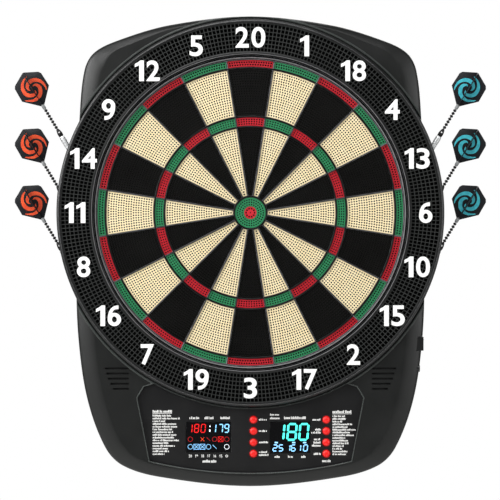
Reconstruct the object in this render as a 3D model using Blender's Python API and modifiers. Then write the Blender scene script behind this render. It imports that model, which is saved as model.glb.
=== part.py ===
"""Electronic soft-tip dartboard with six stored darts, in metres.

The wall is the plane y = 0 and the players stand at -Y. The bull's axis is the Y axis,
+X is to the right as the players see it, and +Z is up. Depths are distances from the wall.
"""

import math

import bmesh
import bpy
from mathutils import Matrix, Vector
from mathutils.geometry import interpolate_bezier

MM = 0.001

# --- Driving dimensions -------------------------------------------------------------------

FIT_GAP = 0.3 * MM             # left between pieces that touch
WALL = 2.5 * MM                # thickness of the moulded casings
ROUND_STEPS = 60               # facets of every large circle, three for each sector

# Target, radii from the bull's centre
SECTORS = [20, 1, 18, 4, 13, 6, 10, 15, 2, 17, 3, 19, 7, 16, 8, 11, 14, 9, 12, 5]
SECTOR_ANGLE = math.tau / len(SECTORS)
ARC_STEPS = ROUND_STEPS // len(SECTORS)
DOUBLE_RING = (163.6 * MM, 171.45 * MM)
OUTER_SINGLE = (109.0 * MM, 161.5 * MM)
TRIPLE_RING = (97.5 * MM, 107.0 * MM)
INNER_SINGLE = (19.3 * MM, 95.5 * MM)
BANDS = [DOUBLE_RING, OUTER_SINGLE, TRIPLE_RING, INNER_SINGLE]
OUTER_BULL_RADIUS = 17.3 * MM
INNER_BULL_RADIUS = 7.0 * MM
RADIAL_RIB = 1.8 * MM          # width of the spider's radial ribs
SEGMENT_GAP = 0.35 * MM        # all round each segment in its pocket
SPIDER_RADIUS = 176.5 * MM
SPIDER_EAR = (7.0 * MM, 175.0 * MM, 190.0 * MM, 3.0 * MM)  # half width, inner and outer end, thickness
TARGET_OPENING_RADIUS = 178.5 * MM
FLANGE_LIP = 1.0 * MM          # how far a flange reaches past its segment
FLANGE_GAP = 0.4 * MM          # between neighbouring flanges
BULL_FLANGE_GAP = 0.9 * MM     # between the bull's flange and the numbers' flanges
BULL_STEPS = 20
BACKING_RADIUS = 172.0 * MM
MEMBRANE_RADIUS = 170.0 * MM   # of the pad too
RIBBON = (16.0 * MM, -211.4 * MM)  # half width, lower end

# Ring that carries the numbers and catches stray darts
RING_INNER = 177.2 * MM
RING_OUTER = 217.2 * MM
RING_INNER_RIM = 2.6 * MM
RING_OUTER_RIM = 4.0 * MM
RING_CHAMFER = 0.8 * MM
RING_SHOULDER = (1.2 * MM, 1.6 * MM)   # width and drop of the outer edge's slope

# Depth of each layer from the wall
COVER_FRONT = 9.0 * MM
HOUSING_FRONT = 30.0 * MM
BACKING = (11.0 * MM, 13.0 * MM)
MEMBRANE = (13.3 * MM, 13.8 * MM)
PAD = (14.1 * MM, 15.9 * MM)
SEGMENT_TRAVEL = 2.0 * MM
FLANGE = (PAD[1] + SEGMENT_TRAVEL + FIT_GAP, PAD[1] + SEGMENT_TRAVEL + FIT_GAP + 1.2 * MM)
SEGMENT_FRONT = 31.0 * MM
SPIDER = (FLANGE[1] + FIT_GAP, 32.5 * MM)
RING = (HOUSING_FRONT + FIT_GAP, 38.0 * MM)
RING_WEB_FRONT = 36.0 * MM
PANEL = (24.5 * MM, 27.0 * MM)
BOARD = (12.6 * MM, 14.2 * MM)
DISPLAY = (14.9 * MM, 26.8 * MM)

# Casing outline: half of it, from the middle of the top edge down the right side
CASING_HALF = [(0, 221.3), (90, 211.7), (150, 194.0), (176.5, 180.0), (187.1, 160.0),
               (192.6, 105.0), (195.9, 20.0), (196.4, -70.0), (193.6, -143.0), (183.6, -210.0),
               (163.6, -264.0), (144.0, -284.5), (102.0, -297.5), (0, -307.8)]
OUTLINE_STEPS = 3              # straight pieces between two of those points
CASING_ROLL = 9.0 * MM         # radius of the casing's front edge
COVER_ROLL = 2.0 * MM
THROUGH = (5.0 * MM, 40.0 * MM)    # depths of a cutter that passes through the front
BEYOND_SIDE = (180.0 * MM, 200.0 * MM)     # x of a cutter that passes through the right side wall

# Control panel, below the ring
PANEL_ARC_RADIUS = 219.9 * MM
PANEL_ARC_HALF = 108.0 * MM    # half the width of the arc along its top
PANEL_TOP_CORNER = (119.3 * MM, -195.0 * MM)
PANEL_SIDE_CORNER = (126.9 * MM, -207.6 * MM)
PANEL_BOTTOM_CORNER = (113.5 * MM, -278.5 * MM)
PANEL_BOTTOM = -291.9 * MM
PANEL_LIP = 3.0 * MM           # hidden behind the casing's front, all round
WINDOW_GAP = 0.4 * MM          # round the displays and the buttons
DISPLAY_LEFT = (-47.1 * MM, -252.0 * MM, 50.5 * MM, 34.4 * MM)     # centre x, z, width, height
DISPLAY_RIGHT = (44.7 * MM, -252.3 * MM, 45.5 * MM, 35.5 * MM)
BOARD_AREA = (116.0 * MM, -281.0 * MM, -212.0 * MM)     # half width, lower and upper edge
BUTTON_RADIUS = 4.1 * MM
BUTTON_FRONT = 29.4 * MM
BUTTON_DOME = [(0.55, 0.35), (0.9, 1.3), (1.0, 2.4)]     # share of the radius, drop in mm
BUTTON_LIP = 1.4 * MM          # how far the flange reaches past the cap
BUTTON_FLANGE = (21.5 * MM, 24.2 * MM)
BUTTON_TOP = -232.4 * MM
BUTTON_PITCH = 12.7 * MM
BUTTON_COLUMNS = [(3.4 * MM, ["game_button", "player_button", "select_button", "reset_button"]),
                  (85.2 * MM, ["power_button", "volume_button", "cricket_button", "next_button"])]

# Speakers behind their slots
SPEAKER = (150.0 * MM, -186.0 * MM)                # centre x, z
SPEAKER_PROFILE = [(0, 0), (18, 0), (18, -2), (15.3, -3), (9, -8), (9, -12), (0, -12)]     # radius, z
SLOT_TOP = -174.6 * MM
SLOT_PITCH = 5.73 * MM
SLOT_HEIGHT = 2.2 * MM
SLOT_INNER = 136.2 * MM
SLOT_OUTER = [163.6 * MM, 161.9 * MM, 160.2 * MM, 157.4 * MM, 154.6 * MM]
SLOT_DEPTHS = (24.0 * MM, 34.0 * MM)

# Switch and power inlet in the right side wall
SWITCH = (189.5 * MM, 20.0 * MM, -147.2 * MM)      # pivot x, depth, z
SWITCH_SIZE = (11.0 * MM, 15.5 * MM)               # along the depth, and up
BEZEL_REACH = (7.0 * MM, 5.2 * MM)                 # inwards and outwards from the pivot
BEZEL_FLOOR = 4.0 * MM                             # pocket's floor, inwards from the pivot
BEZEL_WALL = (1.2 * MM, 0.9 * MM)                  # beside the rocker, and at its ends
ROCKER_OUTLINE = [(-1.5, -4.0), (5.2, -5.6), (4.2, 0.0), (5.2, 5.6), (-1.5, 4.0)]    # x, z
ROCKER_TILT = math.radians(8)
JACK = (20.0 * MM, -175.0 * MM)                    # depth, z
JACK_BODY = (176.0 * MM, 184.0 * MM, 5.0 * MM)     # inner and outer x, half width
JACK_FRONT = 190.8 * MM
JACK_FLOOR = 181.0 * MM
JACK_RADIUS = 4.2 * MM
JACK_BORE = 2.75 * MM
JACK_PIN = (1.05 * MM, 189.0 * MM)                 # radius, outer end

# Keyholes in the rear cover
KEYHOLE = (90.0 * MM, 100.0 * MM)
KEYHOLE_ENTRY = 5.0 * MM                           # radius
KEYHOLE_SLOT = (5.0 * MM, 14.0 * MM)               # width, height of the slot's centre line
KEYHOLE_DEPTHS = (-4.0 * MM, 6.0 * MM)

# Screw posts that join the casing's halves
SCREW_POSTS = [(158.0 * MM, 158.0 * MM), (170.0 * MM, -152.0 * MM), (141.0 * MM, -262.0 * MM)]
POST_RADIUS = 4.5 * MM
POST_ENDS = (COVER_FRONT + 0.6 * MM, HOUSING_FRONT - 1.2 * MM)

# Darts, three in holders on each side; lengths run from the flight's front end to the tip
DART_DEPTH = 19.0 * MM
DART_START = (-233.6 * MM, 120.5 * MM)             # front end of the top left flight
DART_PITCH = 63.9 * MM
DART_SLOPE = math.atan2(0.854, 0.52)               # below the horizontal
DART_COUNT = 3
SHAFT_LENGTH = 39.8 * MM
BARREL_LENGTH = 40.0 * MM
TIP_LENGTH = 25.0 * MM
BARREL_RADIUS = 3.2 * MM
DART_LENGTH = SHAFT_LENGTH + BARREL_LENGTH + TIP_LENGTH    # without the flight
COLLAR = (2.0 * MM, 4.0 * MM)                      # radius and length, at the flight
SHAFT_RADIUS = 1.6 * MM
SHAFT_FOOT = [(1.6, 12.0), (2.9, 4.0), (2.6, 0.0)]     # radius, distance from the shaft's end
TIP_ROOT = (2.0 * MM, 4.0 * MM)                    # radius, distance from the barrel's end
TIP_POINT = (1.1 * MM, 1.0 * MM)                   # radius, distance from the tip's end
BARREL_END_RADIUS = 2.3 * MM
BARREL_TAPERS = (3.0 * MM, 2.0 * MM)                # lengths, at the shaft and at the tip
FLIGHT_OUTLINE = [(0.3, 1.5), (16.6, 17.8), (33.0, 17.4), (36.0, 15.4), (43.8, 0.8)]   # along, half width
FLIGHT_THICKNESS = 0.8 * MM

# Holders in the casing's side walls
HOLDER_DEPTHS = (13.5 * MM, 24.4 * MM)
HOLDER_MOUTH = 27.0 * MM       # from the tip's end back to the block's upper edge
HOLDER_FOOT = 4.0 * MM         # from the tip's end on to the block's lower edge
HOLDER_SPARE = (7.0 * MM, 3.0 * MM, 9.0 * MM)      # beyond those points: inwards, down and up
HOLDER_SETBACK = 1.4 * MM      # behind the casing's outline
BARREL_BORE = 4.0 * MM
BARREL_BORE_START = 60.0 * MM  # outside the casing, from the flight
TIP_BORE = 2.7 * MM
BORE_SPARE = (1.0 * MM, 0.7 * MM)      # past the barrel's end, and past the tip's end

# --- Collections, materials and small helpers ----------------------------------------------

for old in list(bpy.data.objects):
    bpy.data.objects.remove(old, do_unlink=True)

parts = bpy.data.collections.new("electronic_dartboard")
cutters = bpy.data.collections.new("cutters")
bpy.context.scene.collection.children.link(parts)
bpy.context.scene.collection.children.link(cutters)

FACING = Matrix.Rotation(math.pi / 2, 4, "X")      # turns a drawing's +Z to the players


def plastic(name, colour, roughness=0.5, metallic=0.0):
    material = bpy.data.materials.new(name)
    material.use_nodes = True
    shader = material.node_tree.nodes["Principled BSDF"]
    shader.inputs["Base Color"].default_value = (*colour, 1)
    shader.inputs["Roughness"].default_value = roughness
    shader.inputs["Metallic"].default_value = metallic
    return material


casing_black = plastic("casing_black", (0.02, 0.021, 0.022), 0.45)
ring_black = plastic("ring_black", (0.012, 0.012, 0.013), 0.5)
spider_black = plastic("spider_black", (0.03, 0.03, 0.032), 0.4)
segment_black = plastic("segment_black", (0.009, 0.009, 0.008), 0.6)
segment_cream = plastic("segment_cream", (0.88, 0.76, 0.5), 0.6)
bull_green = plastic("bull_green", (0.012, 0.14, 0.06), 0.55)
bull_red = plastic("bull_red", (0.55, 0.01, 0.02), 0.55)
panel_black = plastic("panel_black", (0.012, 0.012, 0.012), 0.4)
glass_black = plastic("glass_black", (0.004, 0.004, 0.006), 0.15)
button_red = plastic("button_red", (0.55, 0.03, 0.03), 0.5)
hardboard_brown = plastic("hardboard_brown", (0.18, 0.1, 0.05), 0.8)
film_clear = plastic("film_clear", (0.5, 0.5, 0.48), 0.3)
pad_grey = plastic("pad_grey", (0.08, 0.08, 0.08), 0.9)
board_green = plastic("board_green", (0.01, 0.12, 0.04), 0.5)
metal_grey = plastic("metal_grey", (0.5, 0.5, 0.52), 0.35, 1.0)
flight_orange = plastic("flight_orange", (0.75, 0.09, 0.03), 0.4)
flight_cyan = plastic("flight_cyan", (0.02, 0.5, 0.62), 0.4)


def place(name, mesh, material, collection=parts):
    thing = bpy.data.objects.new(name, mesh)
    if material:
        mesh.materials.append(material)
    collection.objects.link(thing)
    return thing


def as_cutter(thing):
    for collection in thing.users_collection:
        collection.objects.unlink(thing)
    cutters.objects.link(thing)
    thing.hide_render = True
    thing.display_type = "WIRE"
    return thing


def combine(target, tool, operation):
    """Add a Boolean to target; DIFFERENCE cuts tool out, UNION joins it on."""
    as_cutter(tool)
    modifier = target.modifiers.new(operation.lower() + "_" + tool.name, "BOOLEAN")
    modifier.operation = operation
    modifier.object = tool
    modifier.solver = "EXACT"


def baked(thing):
    """The evaluated mesh of thing, in world space; thing and its cutters stay as they are."""
    bpy.context.view_layer.update()
    graph = bpy.context.evaluated_depsgraph_get()
    mesh = bpy.data.meshes.new_from_object(thing.evaluated_get(graph))
    mesh.transform(thing.matrix_world)
    return mesh


def welded(mesh):
    bm = bmesh.new()
    bm.from_mesh(mesh)
    bmesh.ops.remove_doubles(bm, verts=bm.verts, dist=0.00001)
    bm.to_mesh(mesh)
    bm.free()
    return mesh


def plate(name, loops, depths, material=None):
    """A flat piece between two depths; loops are its outline and its holes, as (x, z) points."""
    curve = bpy.data.curves.new(name + "_outline", "CURVE")
    curve.dimensions = "2D"
    curve.fill_mode = "BOTH"
    curve.extrude = (depths[1] - depths[0]) / 2
    curve.render_resolution_u = 0
    for loop in loops:
        spline = curve.splines.new("POLY")
        spline.points.add(len(loop) - 1)
        for point, (x, z) in zip(spline.points, loop):
            point.co = (x, z, 0, 1)
        spline.use_cyclic_u = True
    drawing = bpy.data.objects.new(name + "_outline", curve)
    parts.objects.link(drawing)
    drawing.matrix_world = Matrix.Translation((0, -(depths[0] + depths[1]) / 2, 0)) @ FACING
    mesh = welded(baked(drawing))
    bpy.data.objects.remove(drawing)
    mesh.name = name
    return place(name, mesh, material)


def circle(radius, steps=ROUND_STEPS, centre=(0, 0)):
    """Points of a circle, clockwise from the top."""
    angles = [math.tau * step / steps for step in range(steps)]
    return [(centre[0] + radius * math.sin(a), centre[1] + radius * math.cos(a)) for a in angles]


def disc(name, radius, depths, material=None, steps=ROUND_STEPS, centre=(0, 0)):
    return plate(name, [circle(radius, steps, centre)], depths, material)


def box(name, low, high, material=None):
    """A block between two corners, given as (x, depth, z)."""
    bm = bmesh.new()
    bmesh.ops.create_cube(bm, size=1)
    size = [high[axis] - low[axis] for axis in range(3)]
    middle = [(high[axis] + low[axis]) / 2 for axis in range(3)]
    bmesh.ops.scale(bm, vec=size, verts=bm.verts)
    bmesh.ops.translate(bm, vec=(middle[0], -middle[1], middle[2]), verts=bm.verts)
    mesh = bpy.data.meshes.new(name)
    bm.to_mesh(mesh)
    bm.free()
    return place(name, mesh, material)


def rod(name, start, end, radius, steps=12, material=None):
    """A cylinder between two points, given as (x, depth, z)."""
    first = Vector((start[0], -start[1], start[2]))
    last = Vector((end[0], -end[1], end[2]))
    bm = bmesh.new()
    bmesh.ops.create_cone(bm, cap_ends=True, segments=steps, radius1=radius, radius2=radius,
                          depth=(last - first).length)
    turn = (last - first).to_track_quat("Z", "Y").to_matrix().to_4x4()
    bmesh.ops.transform(bm, matrix=Matrix.Translation((first + last) / 2) @ turn, verts=bm.verts)
    mesh = bpy.data.meshes.new(name)
    bm.to_mesh(mesh)
    bm.free()
    return place(name, mesh, material)


def turned(name, profile, steps, material):
    """A solid of revolution about its own Z axis; profile is (radius, z) points, top to bottom."""
    mesh = bpy.data.meshes.new(name)
    edges = [(i, i + 1) for i in range(len(profile) - 1)]
    if profile[0][0] > 0:
        edges.append((len(profile) - 1, 0))
    mesh.from_pydata([(radius, 0, z) for radius, z in profile], edges, [])
    thing = place(name, mesh, material)
    screw = thing.modifiers.new("turn", "SCREW")
    screw.steps = steps
    screw.render_steps = steps
    screw.use_merge_vertices = True
    screw.merge_threshold = 0.00001
    return thing


def rounded(thing):
    thing.data.shade_smooth()
    thing.data.set_sharp_from_angle(angle=math.radians(35))


# --- Casing --------------------------------------------------------------------------------

def casing_outline():
    """Smooth closed outline through the half outline's points and their mirror images."""
    right = [Vector((x * MM, z * MM)) for x, z in CASING_HALF]
    left = [Vector((-point.x, point.y)) for point in reversed(right[1:-1])]
    keys = right + left
    count = len(keys)
    outline = []
    for i, key in enumerate(keys):
        following = keys[(i + 1) % count]
        reach = (following - key).length / 3
        out_way = (following - keys[i - 1]).normalized()
        in_way = (keys[(i + 2) % count] - key).normalized()
        curve = interpolate_bezier(key, key + out_way * reach, following - in_way * reach,
                                   following, OUTLINE_STEPS + 1)
        outline += [(point.x, point.y) for point in curve[:-1]]
    return outline


def half_width(z):
    """Half the casing's width at height z."""
    outline = casing_outline()
    widths = []
    for (x0, z0), (x1, z1) in zip(outline, outline[1:]):
        if x0 > 0 and min(z0, z1) <= z <= max(z0, z1) and z0 != z1:
            widths.append(x0 + (x1 - x0) * (z - z0) / (z1 - z0))
    return max(widths)


def casing_shell(name, closed_depth, open_depth, roll, roll_steps, material):
    """Open tray on the casing's outline: its floor is at one depth, its rim at the other."""
    bm = bmesh.new()
    floor = bm.faces.new([bm.verts.new((x, -open_depth, z)) for x, z in casing_outline()])
    grown = bmesh.ops.extrude_face_region(bm, geom=[floor])["geom"]
    moved = [part for part in grown if isinstance(part, bmesh.types.BMVert)]
    bmesh.ops.translate(bm, vec=(0, open_depth - closed_depth, 0), verts=moved)
    if floor.is_valid:
        bmesh.ops.delete(bm, geom=[floor], context="FACES_ONLY")
    front_edges = [edge for edge in bm.edges
                   if all(abs(vert.co.y + closed_depth) < 1e-6 for vert in edge.verts)]
    bmesh.ops.bevel(bm, geom=front_edges, offset=roll, segments=roll_steps, profile=0.5,
                    affect="EDGES")
    bmesh.ops.recalc_face_normals(bm, faces=bm.faces)
    forward = sum(face.normal.y * face.calc_area() for face in bm.faces)
    if (forward < 0) != (closed_depth > open_depth):
        bmesh.ops.reverse_faces(bm, faces=bm.faces)
    mesh = bpy.data.meshes.new(name)
    bm.to_mesh(mesh)
    bm.free()
    shell = place(name, mesh, material)
    wall = shell.modifiers.new("wall", "SOLIDIFY")
    wall.thickness = WALL
    wall.offset = -1
    wall.use_even_offset = True
    return shell


def panel_outline(grown=0.0):
    """The control panel's outline, larger all round by grown."""
    radius = PANEL_ARC_RADIUS - grown
    arc_half = math.asin(PANEL_ARC_HALF / PANEL_ARC_RADIUS)
    top = []
    for step in range(13):
        angle = arc_half * (step / 6 - 1)
        top.append((radius * math.sin(angle), -radius * math.cos(angle)))
    sag = PANEL_BOTTOM_CORNER[1] - PANEL_BOTTOM
    bottom_radius = (PANEL_BOTTOM_CORNER[0] ** 2 + sag ** 2) / (2 * sag)
    bottom_half = math.asin(PANEL_BOTTOM_CORNER[0] / bottom_radius)
    centre = PANEL_BOTTOM + bottom_radius
    bottom = []
    for step in range(9):
        angle = bottom_half * (1 - step / 4)
        reach = bottom_radius + grown
        bottom.append((reach * math.sin(angle), centre - reach * math.cos(angle)))
    corners = [(PANEL_TOP_CORNER[0] + grown, PANEL_TOP_CORNER[1] + grown / 2),
               (PANEL_SIDE_CORNER[0] + grown, PANEL_SIDE_CORNER[1])]
    mirrored = [(-x, z) for x, z in reversed(corners)]
    return top + corners + bottom + mirrored


def dart_way(side):
    """Unit vector from the flight to the tip, as (x, depth, z); side is -1 left, 1 right."""
    return (-side * math.cos(DART_SLOPE), 0.0, -math.sin(DART_SLOPE))


def dart_point(side, row, along):
    """Point on a stored dart's axis, as (x, depth, z)."""
    way = dart_way(side)
    return (-side * DART_START[0] + way[0] * along, DART_DEPTH,
            DART_START[1] - row * DART_PITCH + way[2] * along)


def make_front_housing():
    housing = casing_shell("front_housing", HOUSING_FRONT, COVER_FRONT + FIT_GAP, CASING_ROLL, 3,
                           casing_black)
    for side in (-1, 1):
        for row in range(DART_COUNT):
            mouth = dart_point(side, row, DART_LENGTH - HOLDER_MOUTH)
            foot = dart_point(side, row, DART_LENGTH + HOLDER_FOOT)
            inwards, down, up = HOLDER_SPARE
            ends = sorted((side * (half_width(mouth[2]) - HOLDER_SETBACK),
                           side * (abs(foot[0]) - inwards)))
            holder = box(f"holder_block_{side}_{row}", (ends[0], HOLDER_DEPTHS[0], foot[2] - down),
                         (ends[1], HOLDER_DEPTHS[1], mouth[2] + up))
            combine(housing, holder, "UNION")
        for x, z in SCREW_POSTS:
            post = rod(f"post_{side}_{int(z / MM)}", (side * x, POST_ENDS[0], z),
                       (side * x, POST_ENDS[1], z), POST_RADIUS, 10)
            combine(housing, post, "UNION")
    combine(housing, disc("target_opening", TARGET_OPENING_RADIUS, THROUGH), "DIFFERENCE")
    window = plate("panel_opening", [panel_outline()], (PANEL[0] - 0.5 * MM, THROUGH[1]))
    combine(housing, window, "DIFFERENCE")
    for side in (-1, 1):
        for row in range(DART_COUNT):
            barrel_end = SHAFT_LENGTH + BARREL_LENGTH + BORE_SPARE[0]
            wide = rod(f"barrel_bore_{side}_{row}", dart_point(side, row, BARREL_BORE_START),
                       dart_point(side, row, barrel_end), BARREL_BORE)
            narrow = rod(f"tip_bore_{side}_{row}", dart_point(side, row, barrel_end - 1 * MM),
                         dart_point(side, row, DART_LENGTH + BORE_SPARE[1]), TIP_BORE, 8)
            combine(housing, wide, "DIFFERENCE")
            combine(housing, narrow, "DIFFERENCE")
        for row, outer in enumerate(SLOT_OUTER):
            z = SLOT_TOP - row * SLOT_PITCH
            ends = sorted((side * SLOT_INNER, side * outer))
            slot = box(f"speaker_slot_{side}_{row}", (ends[0], SLOT_DEPTHS[0], z - SLOT_HEIGHT / 2),
                       (ends[1], SLOT_DEPTHS[1], z + SLOT_HEIGHT / 2))
            combine(housing, slot, "DIFFERENCE")
    depth_half = SWITCH_SIZE[0] / 2 + FIT_GAP
    height_half = SWITCH_SIZE[1] / 2 + FIT_GAP
    gap = box("switch_opening", (BEYOND_SIDE[0], SWITCH[1] - depth_half, SWITCH[2] - height_half),
              (BEYOND_SIDE[1], SWITCH[1] + depth_half, SWITCH[2] + height_half))
    combine(housing, gap, "DIFFERENCE")
    inlet = rod("jack_opening", (BEYOND_SIDE[0], *JACK), (BEYOND_SIDE[1], *JACK), JACK_RADIUS + FIT_GAP)
    combine(housing, inlet, "DIFFERENCE")


def keyhole_outline(x, z):
    """Round entry with a narrow slot above it, that ends in a half circle."""
    half = KEYHOLE_SLOT[0] / 2
    neck = math.asin(half / KEYHOLE_ENTRY)
    entry = []
    for step in range(13):
        angle = neck + (math.tau - 2 * neck) * step / 12
        entry.append((x + KEYHOLE_ENTRY * math.sin(angle), z + KEYHOLE_ENTRY * math.cos(angle)))
    top = z + KEYHOLE_SLOT[1]
    arch = []
    for step in range(7):
        angle = math.pi * (step / 6 - 0.5)
        arch.append((x + half * math.sin(angle), top + half * math.cos(angle)))
    return entry + arch


def make_rear_cover():
    cover = casing_shell("rear_cover", 0.0, COVER_FRONT, COVER_ROLL, 1, casing_black)
    for side in (-1, 1):
        outline = keyhole_outline(side * KEYHOLE[0], KEYHOLE[1])
        hole = plate(f"keyhole_{side}", [outline], KEYHOLE_DEPTHS)
        combine(cover, hole, "DIFFERENCE")


# --- Target ----------------------------------------------------------------------------------

def cell(inner, outer, rib, grown, turn=0.0):
    """Outline of one segment's area between two radii, with straight ribs of width rib beside it.

    The outline is larger by grown on every side, or smaller where grown is negative.
    """
    def edge_angle(radius):
        return SECTOR_ANGLE / 2 - math.asin((rib / 2 - grown) / radius)

    points = []
    for radius, way in ((outer + grown, 1), (inner - grown, -1)):
        half = edge_angle(radius)
        for step in range(ARC_STEPS + 1):
            angle = way * half * (2 * step / ARC_STEPS - 1) + turn
            points.append((radius * math.sin(angle), radius * math.cos(angle)))
    return points


def make_spider():
    loops = [circle(SPIDER_RADIUS), circle(OUTER_BULL_RADIUS + SEGMENT_GAP, BULL_STEPS)]
    for number in range(len(SECTORS)):
        for inner, outer in BANDS:
            loops.append(cell(inner, outer, RADIAL_RIB, SEGMENT_GAP, number * SECTOR_ANGLE))
    spider = plate("spider", loops, SPIDER, spider_black)
    half, inner_end, outer_end, thickness = SPIDER_EAR
    for quarter in range(4):
        ear = box(f"spider_ear_{quarter}", (-half, SPIDER[0], inner_end),
                  (half, SPIDER[0] + thickness, outer_end))
        ear.matrix_world = Matrix.Rotation(math.radians(45 + 90 * quarter), 4, "Y")
        combine(spider, ear, "UNION")


def make_segments():
    flange_loop = cell(OUTER_BULL_RADIUS + FLANGE_LIP + BULL_FLANGE_GAP, DOUBLE_RING[1] + FLANGE_LIP,
                       FLANGE_GAP, 0.0)
    pattern = plate("segments", [flange_loop], FLANGE)
    for row, (inner, outer) in enumerate(BANDS):
        block = plate(f"segment_{row}", [cell(inner, outer, RADIAL_RIB, 0.0)],
                      (FLANGE[0] + 0.4 * MM, SEGMENT_FRONT))
        combine(pattern, block, "UNION")
    shared = baked(pattern)
    bpy.data.objects.remove(pattern)
    shared.materials.clear()
    shared.materials.append(None)
    for number, score in enumerate(SECTORS):
        sector = place(f"segments_{score}", shared, None)
        sector.matrix_world = Matrix.Rotation(number * SECTOR_ANGLE, 4, "Y")
        sector.material_slots[0].link = "OBJECT"
        sector.material_slots[0].material = segment_cream if number % 2 else segment_black


def make_bulls():
    outer = disc("bull_outer", OUTER_BULL_RADIUS, (FLANGE[0] + 0.4 * MM, SEGMENT_FRONT + 0.2 * MM),
                 bull_green, BULL_STEPS)
    flange = disc("bull_flange", OUTER_BULL_RADIUS + FLANGE_LIP, FLANGE, None, BULL_STEPS)
    combine(outer, flange, "UNION")
    hole = disc("bull_hole", INNER_BULL_RADIUS + SEGMENT_GAP, THROUGH, None, BULL_STEPS)
    combine(outer, hole, "DIFFERENCE")
    disc("bull_inner", INNER_BULL_RADIUS, (FLANGE[0], SEGMENT_FRONT + 0.4 * MM), bull_red, BULL_STEPS)


def make_layers():
    disc("backing_plate", BACKING_RADIUS, BACKING, hardboard_brown)
    disc("membrane_switch", MEMBRANE_RADIUS, MEMBRANE, film_clear)
    disc("rubber_pad", MEMBRANE_RADIUS, PAD, pad_grey)
    half, lower_end = RIBBON
    box("membrane_ribbon", (-half, MEMBRANE[0], lower_end),
        (half, MEMBRANE[1], -MEMBRANE_RADIUS - FIT_GAP), film_clear)


def make_catch_ring():
    back, front = RING
    inner_step = RING_INNER + RING_INNER_RIM
    outer_step = RING_OUTER - RING_OUTER_RIM
    slope_width, slope_drop = RING_SHOULDER
    profile = [(RING_INNER, front - RING_CHAMFER), (RING_INNER + RING_CHAMFER, front),
               (inner_step, front), (inner_step, RING_WEB_FRONT), (outer_step, RING_WEB_FRONT),
               (outer_step + RING_CHAMFER, front), (RING_OUTER - slope_width, front),
               (RING_OUTER, front - slope_drop), (RING_OUTER, back), (RING_INNER, back)]
    ring = turned("catch_ring", profile, ROUND_STEPS, ring_black)
    ring.matrix_world = FACING


# --- Control panel -----------------------------------------------------------------------------

def window_loop(centre_x, centre_z, width, height, grown=0.0):
    half_x = width / 2 + grown
    half_z = height / 2 + grown
    return [(centre_x - half_x, centre_z - half_z), (centre_x + half_x, centre_z - half_z),
            (centre_x + half_x, centre_z + half_z), (centre_x - half_x, centre_z + half_z)]


def button_places():
    for x, names in BUTTON_COLUMNS:
        for row, name in enumerate(names):
            yield name, x, BUTTON_TOP - row * BUTTON_PITCH


def make_panel():
    loops = [panel_outline(PANEL_LIP)]
    for display in (DISPLAY_LEFT, DISPLAY_RIGHT):
        loops.append(window_loop(*display, grown=WINDOW_GAP))
    for _name, x, z in button_places():
        loops.append(circle(BUTTON_RADIUS + WINDOW_GAP, 12, (x, z)))
    plate("control_panel", loops, PANEL, panel_black)
    plate("score_display_left", [window_loop(*DISPLAY_LEFT)], DISPLAY, glass_black)
    plate("score_display_right", [window_loop(*DISPLAY_RIGHT)], DISPLAY, glass_black)
    half, low, high = BOARD_AREA
    box("main_board", (-half, BOARD[0], low), (half, BOARD[1], high), board_green)


def make_buttons():
    back, flange_front = BUTTON_FLANGE
    dome = [(BUTTON_RADIUS * share, BUTTON_FRONT - drop * MM) for share, drop in BUTTON_DOME]
    flange = BUTTON_RADIUS + BUTTON_LIP
    profile = [(0, BUTTON_FRONT), *dome, (BUTTON_RADIUS, flange_front), (flange, flange_front),
               (flange, back), (0, back)]
    for name, x, z in button_places():
        local = [(radius, depth - back) for radius, depth in profile]
        button = turned(name, local, 12, button_red)
        button.matrix_world = Matrix.Translation((x, -back, z)) @ FACING


def make_speakers():
    x, z = SPEAKER
    front = HOUSING_FRONT - WALL - FIT_GAP
    profile = [(radius * MM, height * MM) for radius, height in SPEAKER_PROFILE]
    for side, name in ((-1, "speaker_left"), (1, "speaker_right")):
        speaker = turned(name, profile, 16, metal_grey)
        speaker.matrix_world = Matrix.Translation((side * x, -front, z)) @ FACING


# --- Switch and power inlet -----------------------------------------------------------------

def make_switch():
    x, depth, z = SWITCH
    depth_half = SWITCH_SIZE[0] / 2
    height_half = SWITCH_SIZE[1] / 2
    inwards, outwards = BEZEL_REACH
    side_wall, end_wall = BEZEL_WALL
    bezel = box("switch_bezel", (x - inwards, depth - depth_half, z - height_half),
                (x + outwards, depth + depth_half, z + height_half), panel_black)
    pocket_depth = depth_half - side_wall
    pocket_height = height_half - end_wall
    pocket = box("rocker_pocket", (x - BEZEL_FLOOR, depth - pocket_depth, z - pocket_height),
                 (BEYOND_SIDE[1], depth + pocket_depth, z + pocket_height))
    combine(bezel, pocket, "DIFFERENCE")
    half = pocket_depth - FIT_GAP
    outline = [(out * MM, up * MM) for out, up in ROCKER_OUTLINE]
    rocker = plate("power_rocker", [outline], (-half, half), panel_black)
    rocker.matrix_world = Matrix.Translation((x, -depth, z)) @ Matrix.Rotation(ROCKER_TILT, 4, "Y")


def make_jack():
    depth, z = JACK
    inner, outer, half = JACK_BODY
    body = box("dc_jack", (inner, depth - half, z - half), (outer, depth + half, z + half), panel_black)
    middle = (inner + outer) / 2
    combine(body, rod("jack_collar", (middle, *JACK), (JACK_FRONT, *JACK), JACK_RADIUS), "UNION")
    bore = rod("jack_bore", (JACK_FLOOR, *JACK), (BEYOND_SIDE[1], *JACK), JACK_BORE)
    combine(body, bore, "DIFFERENCE")
    pin_radius, pin_end = JACK_PIN
    combine(body, rod("jack_pin", (middle, *JACK), (pin_end, *JACK), pin_radius, 8), "UNION")


# --- Darts -----------------------------------------------------------------------------------

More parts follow.
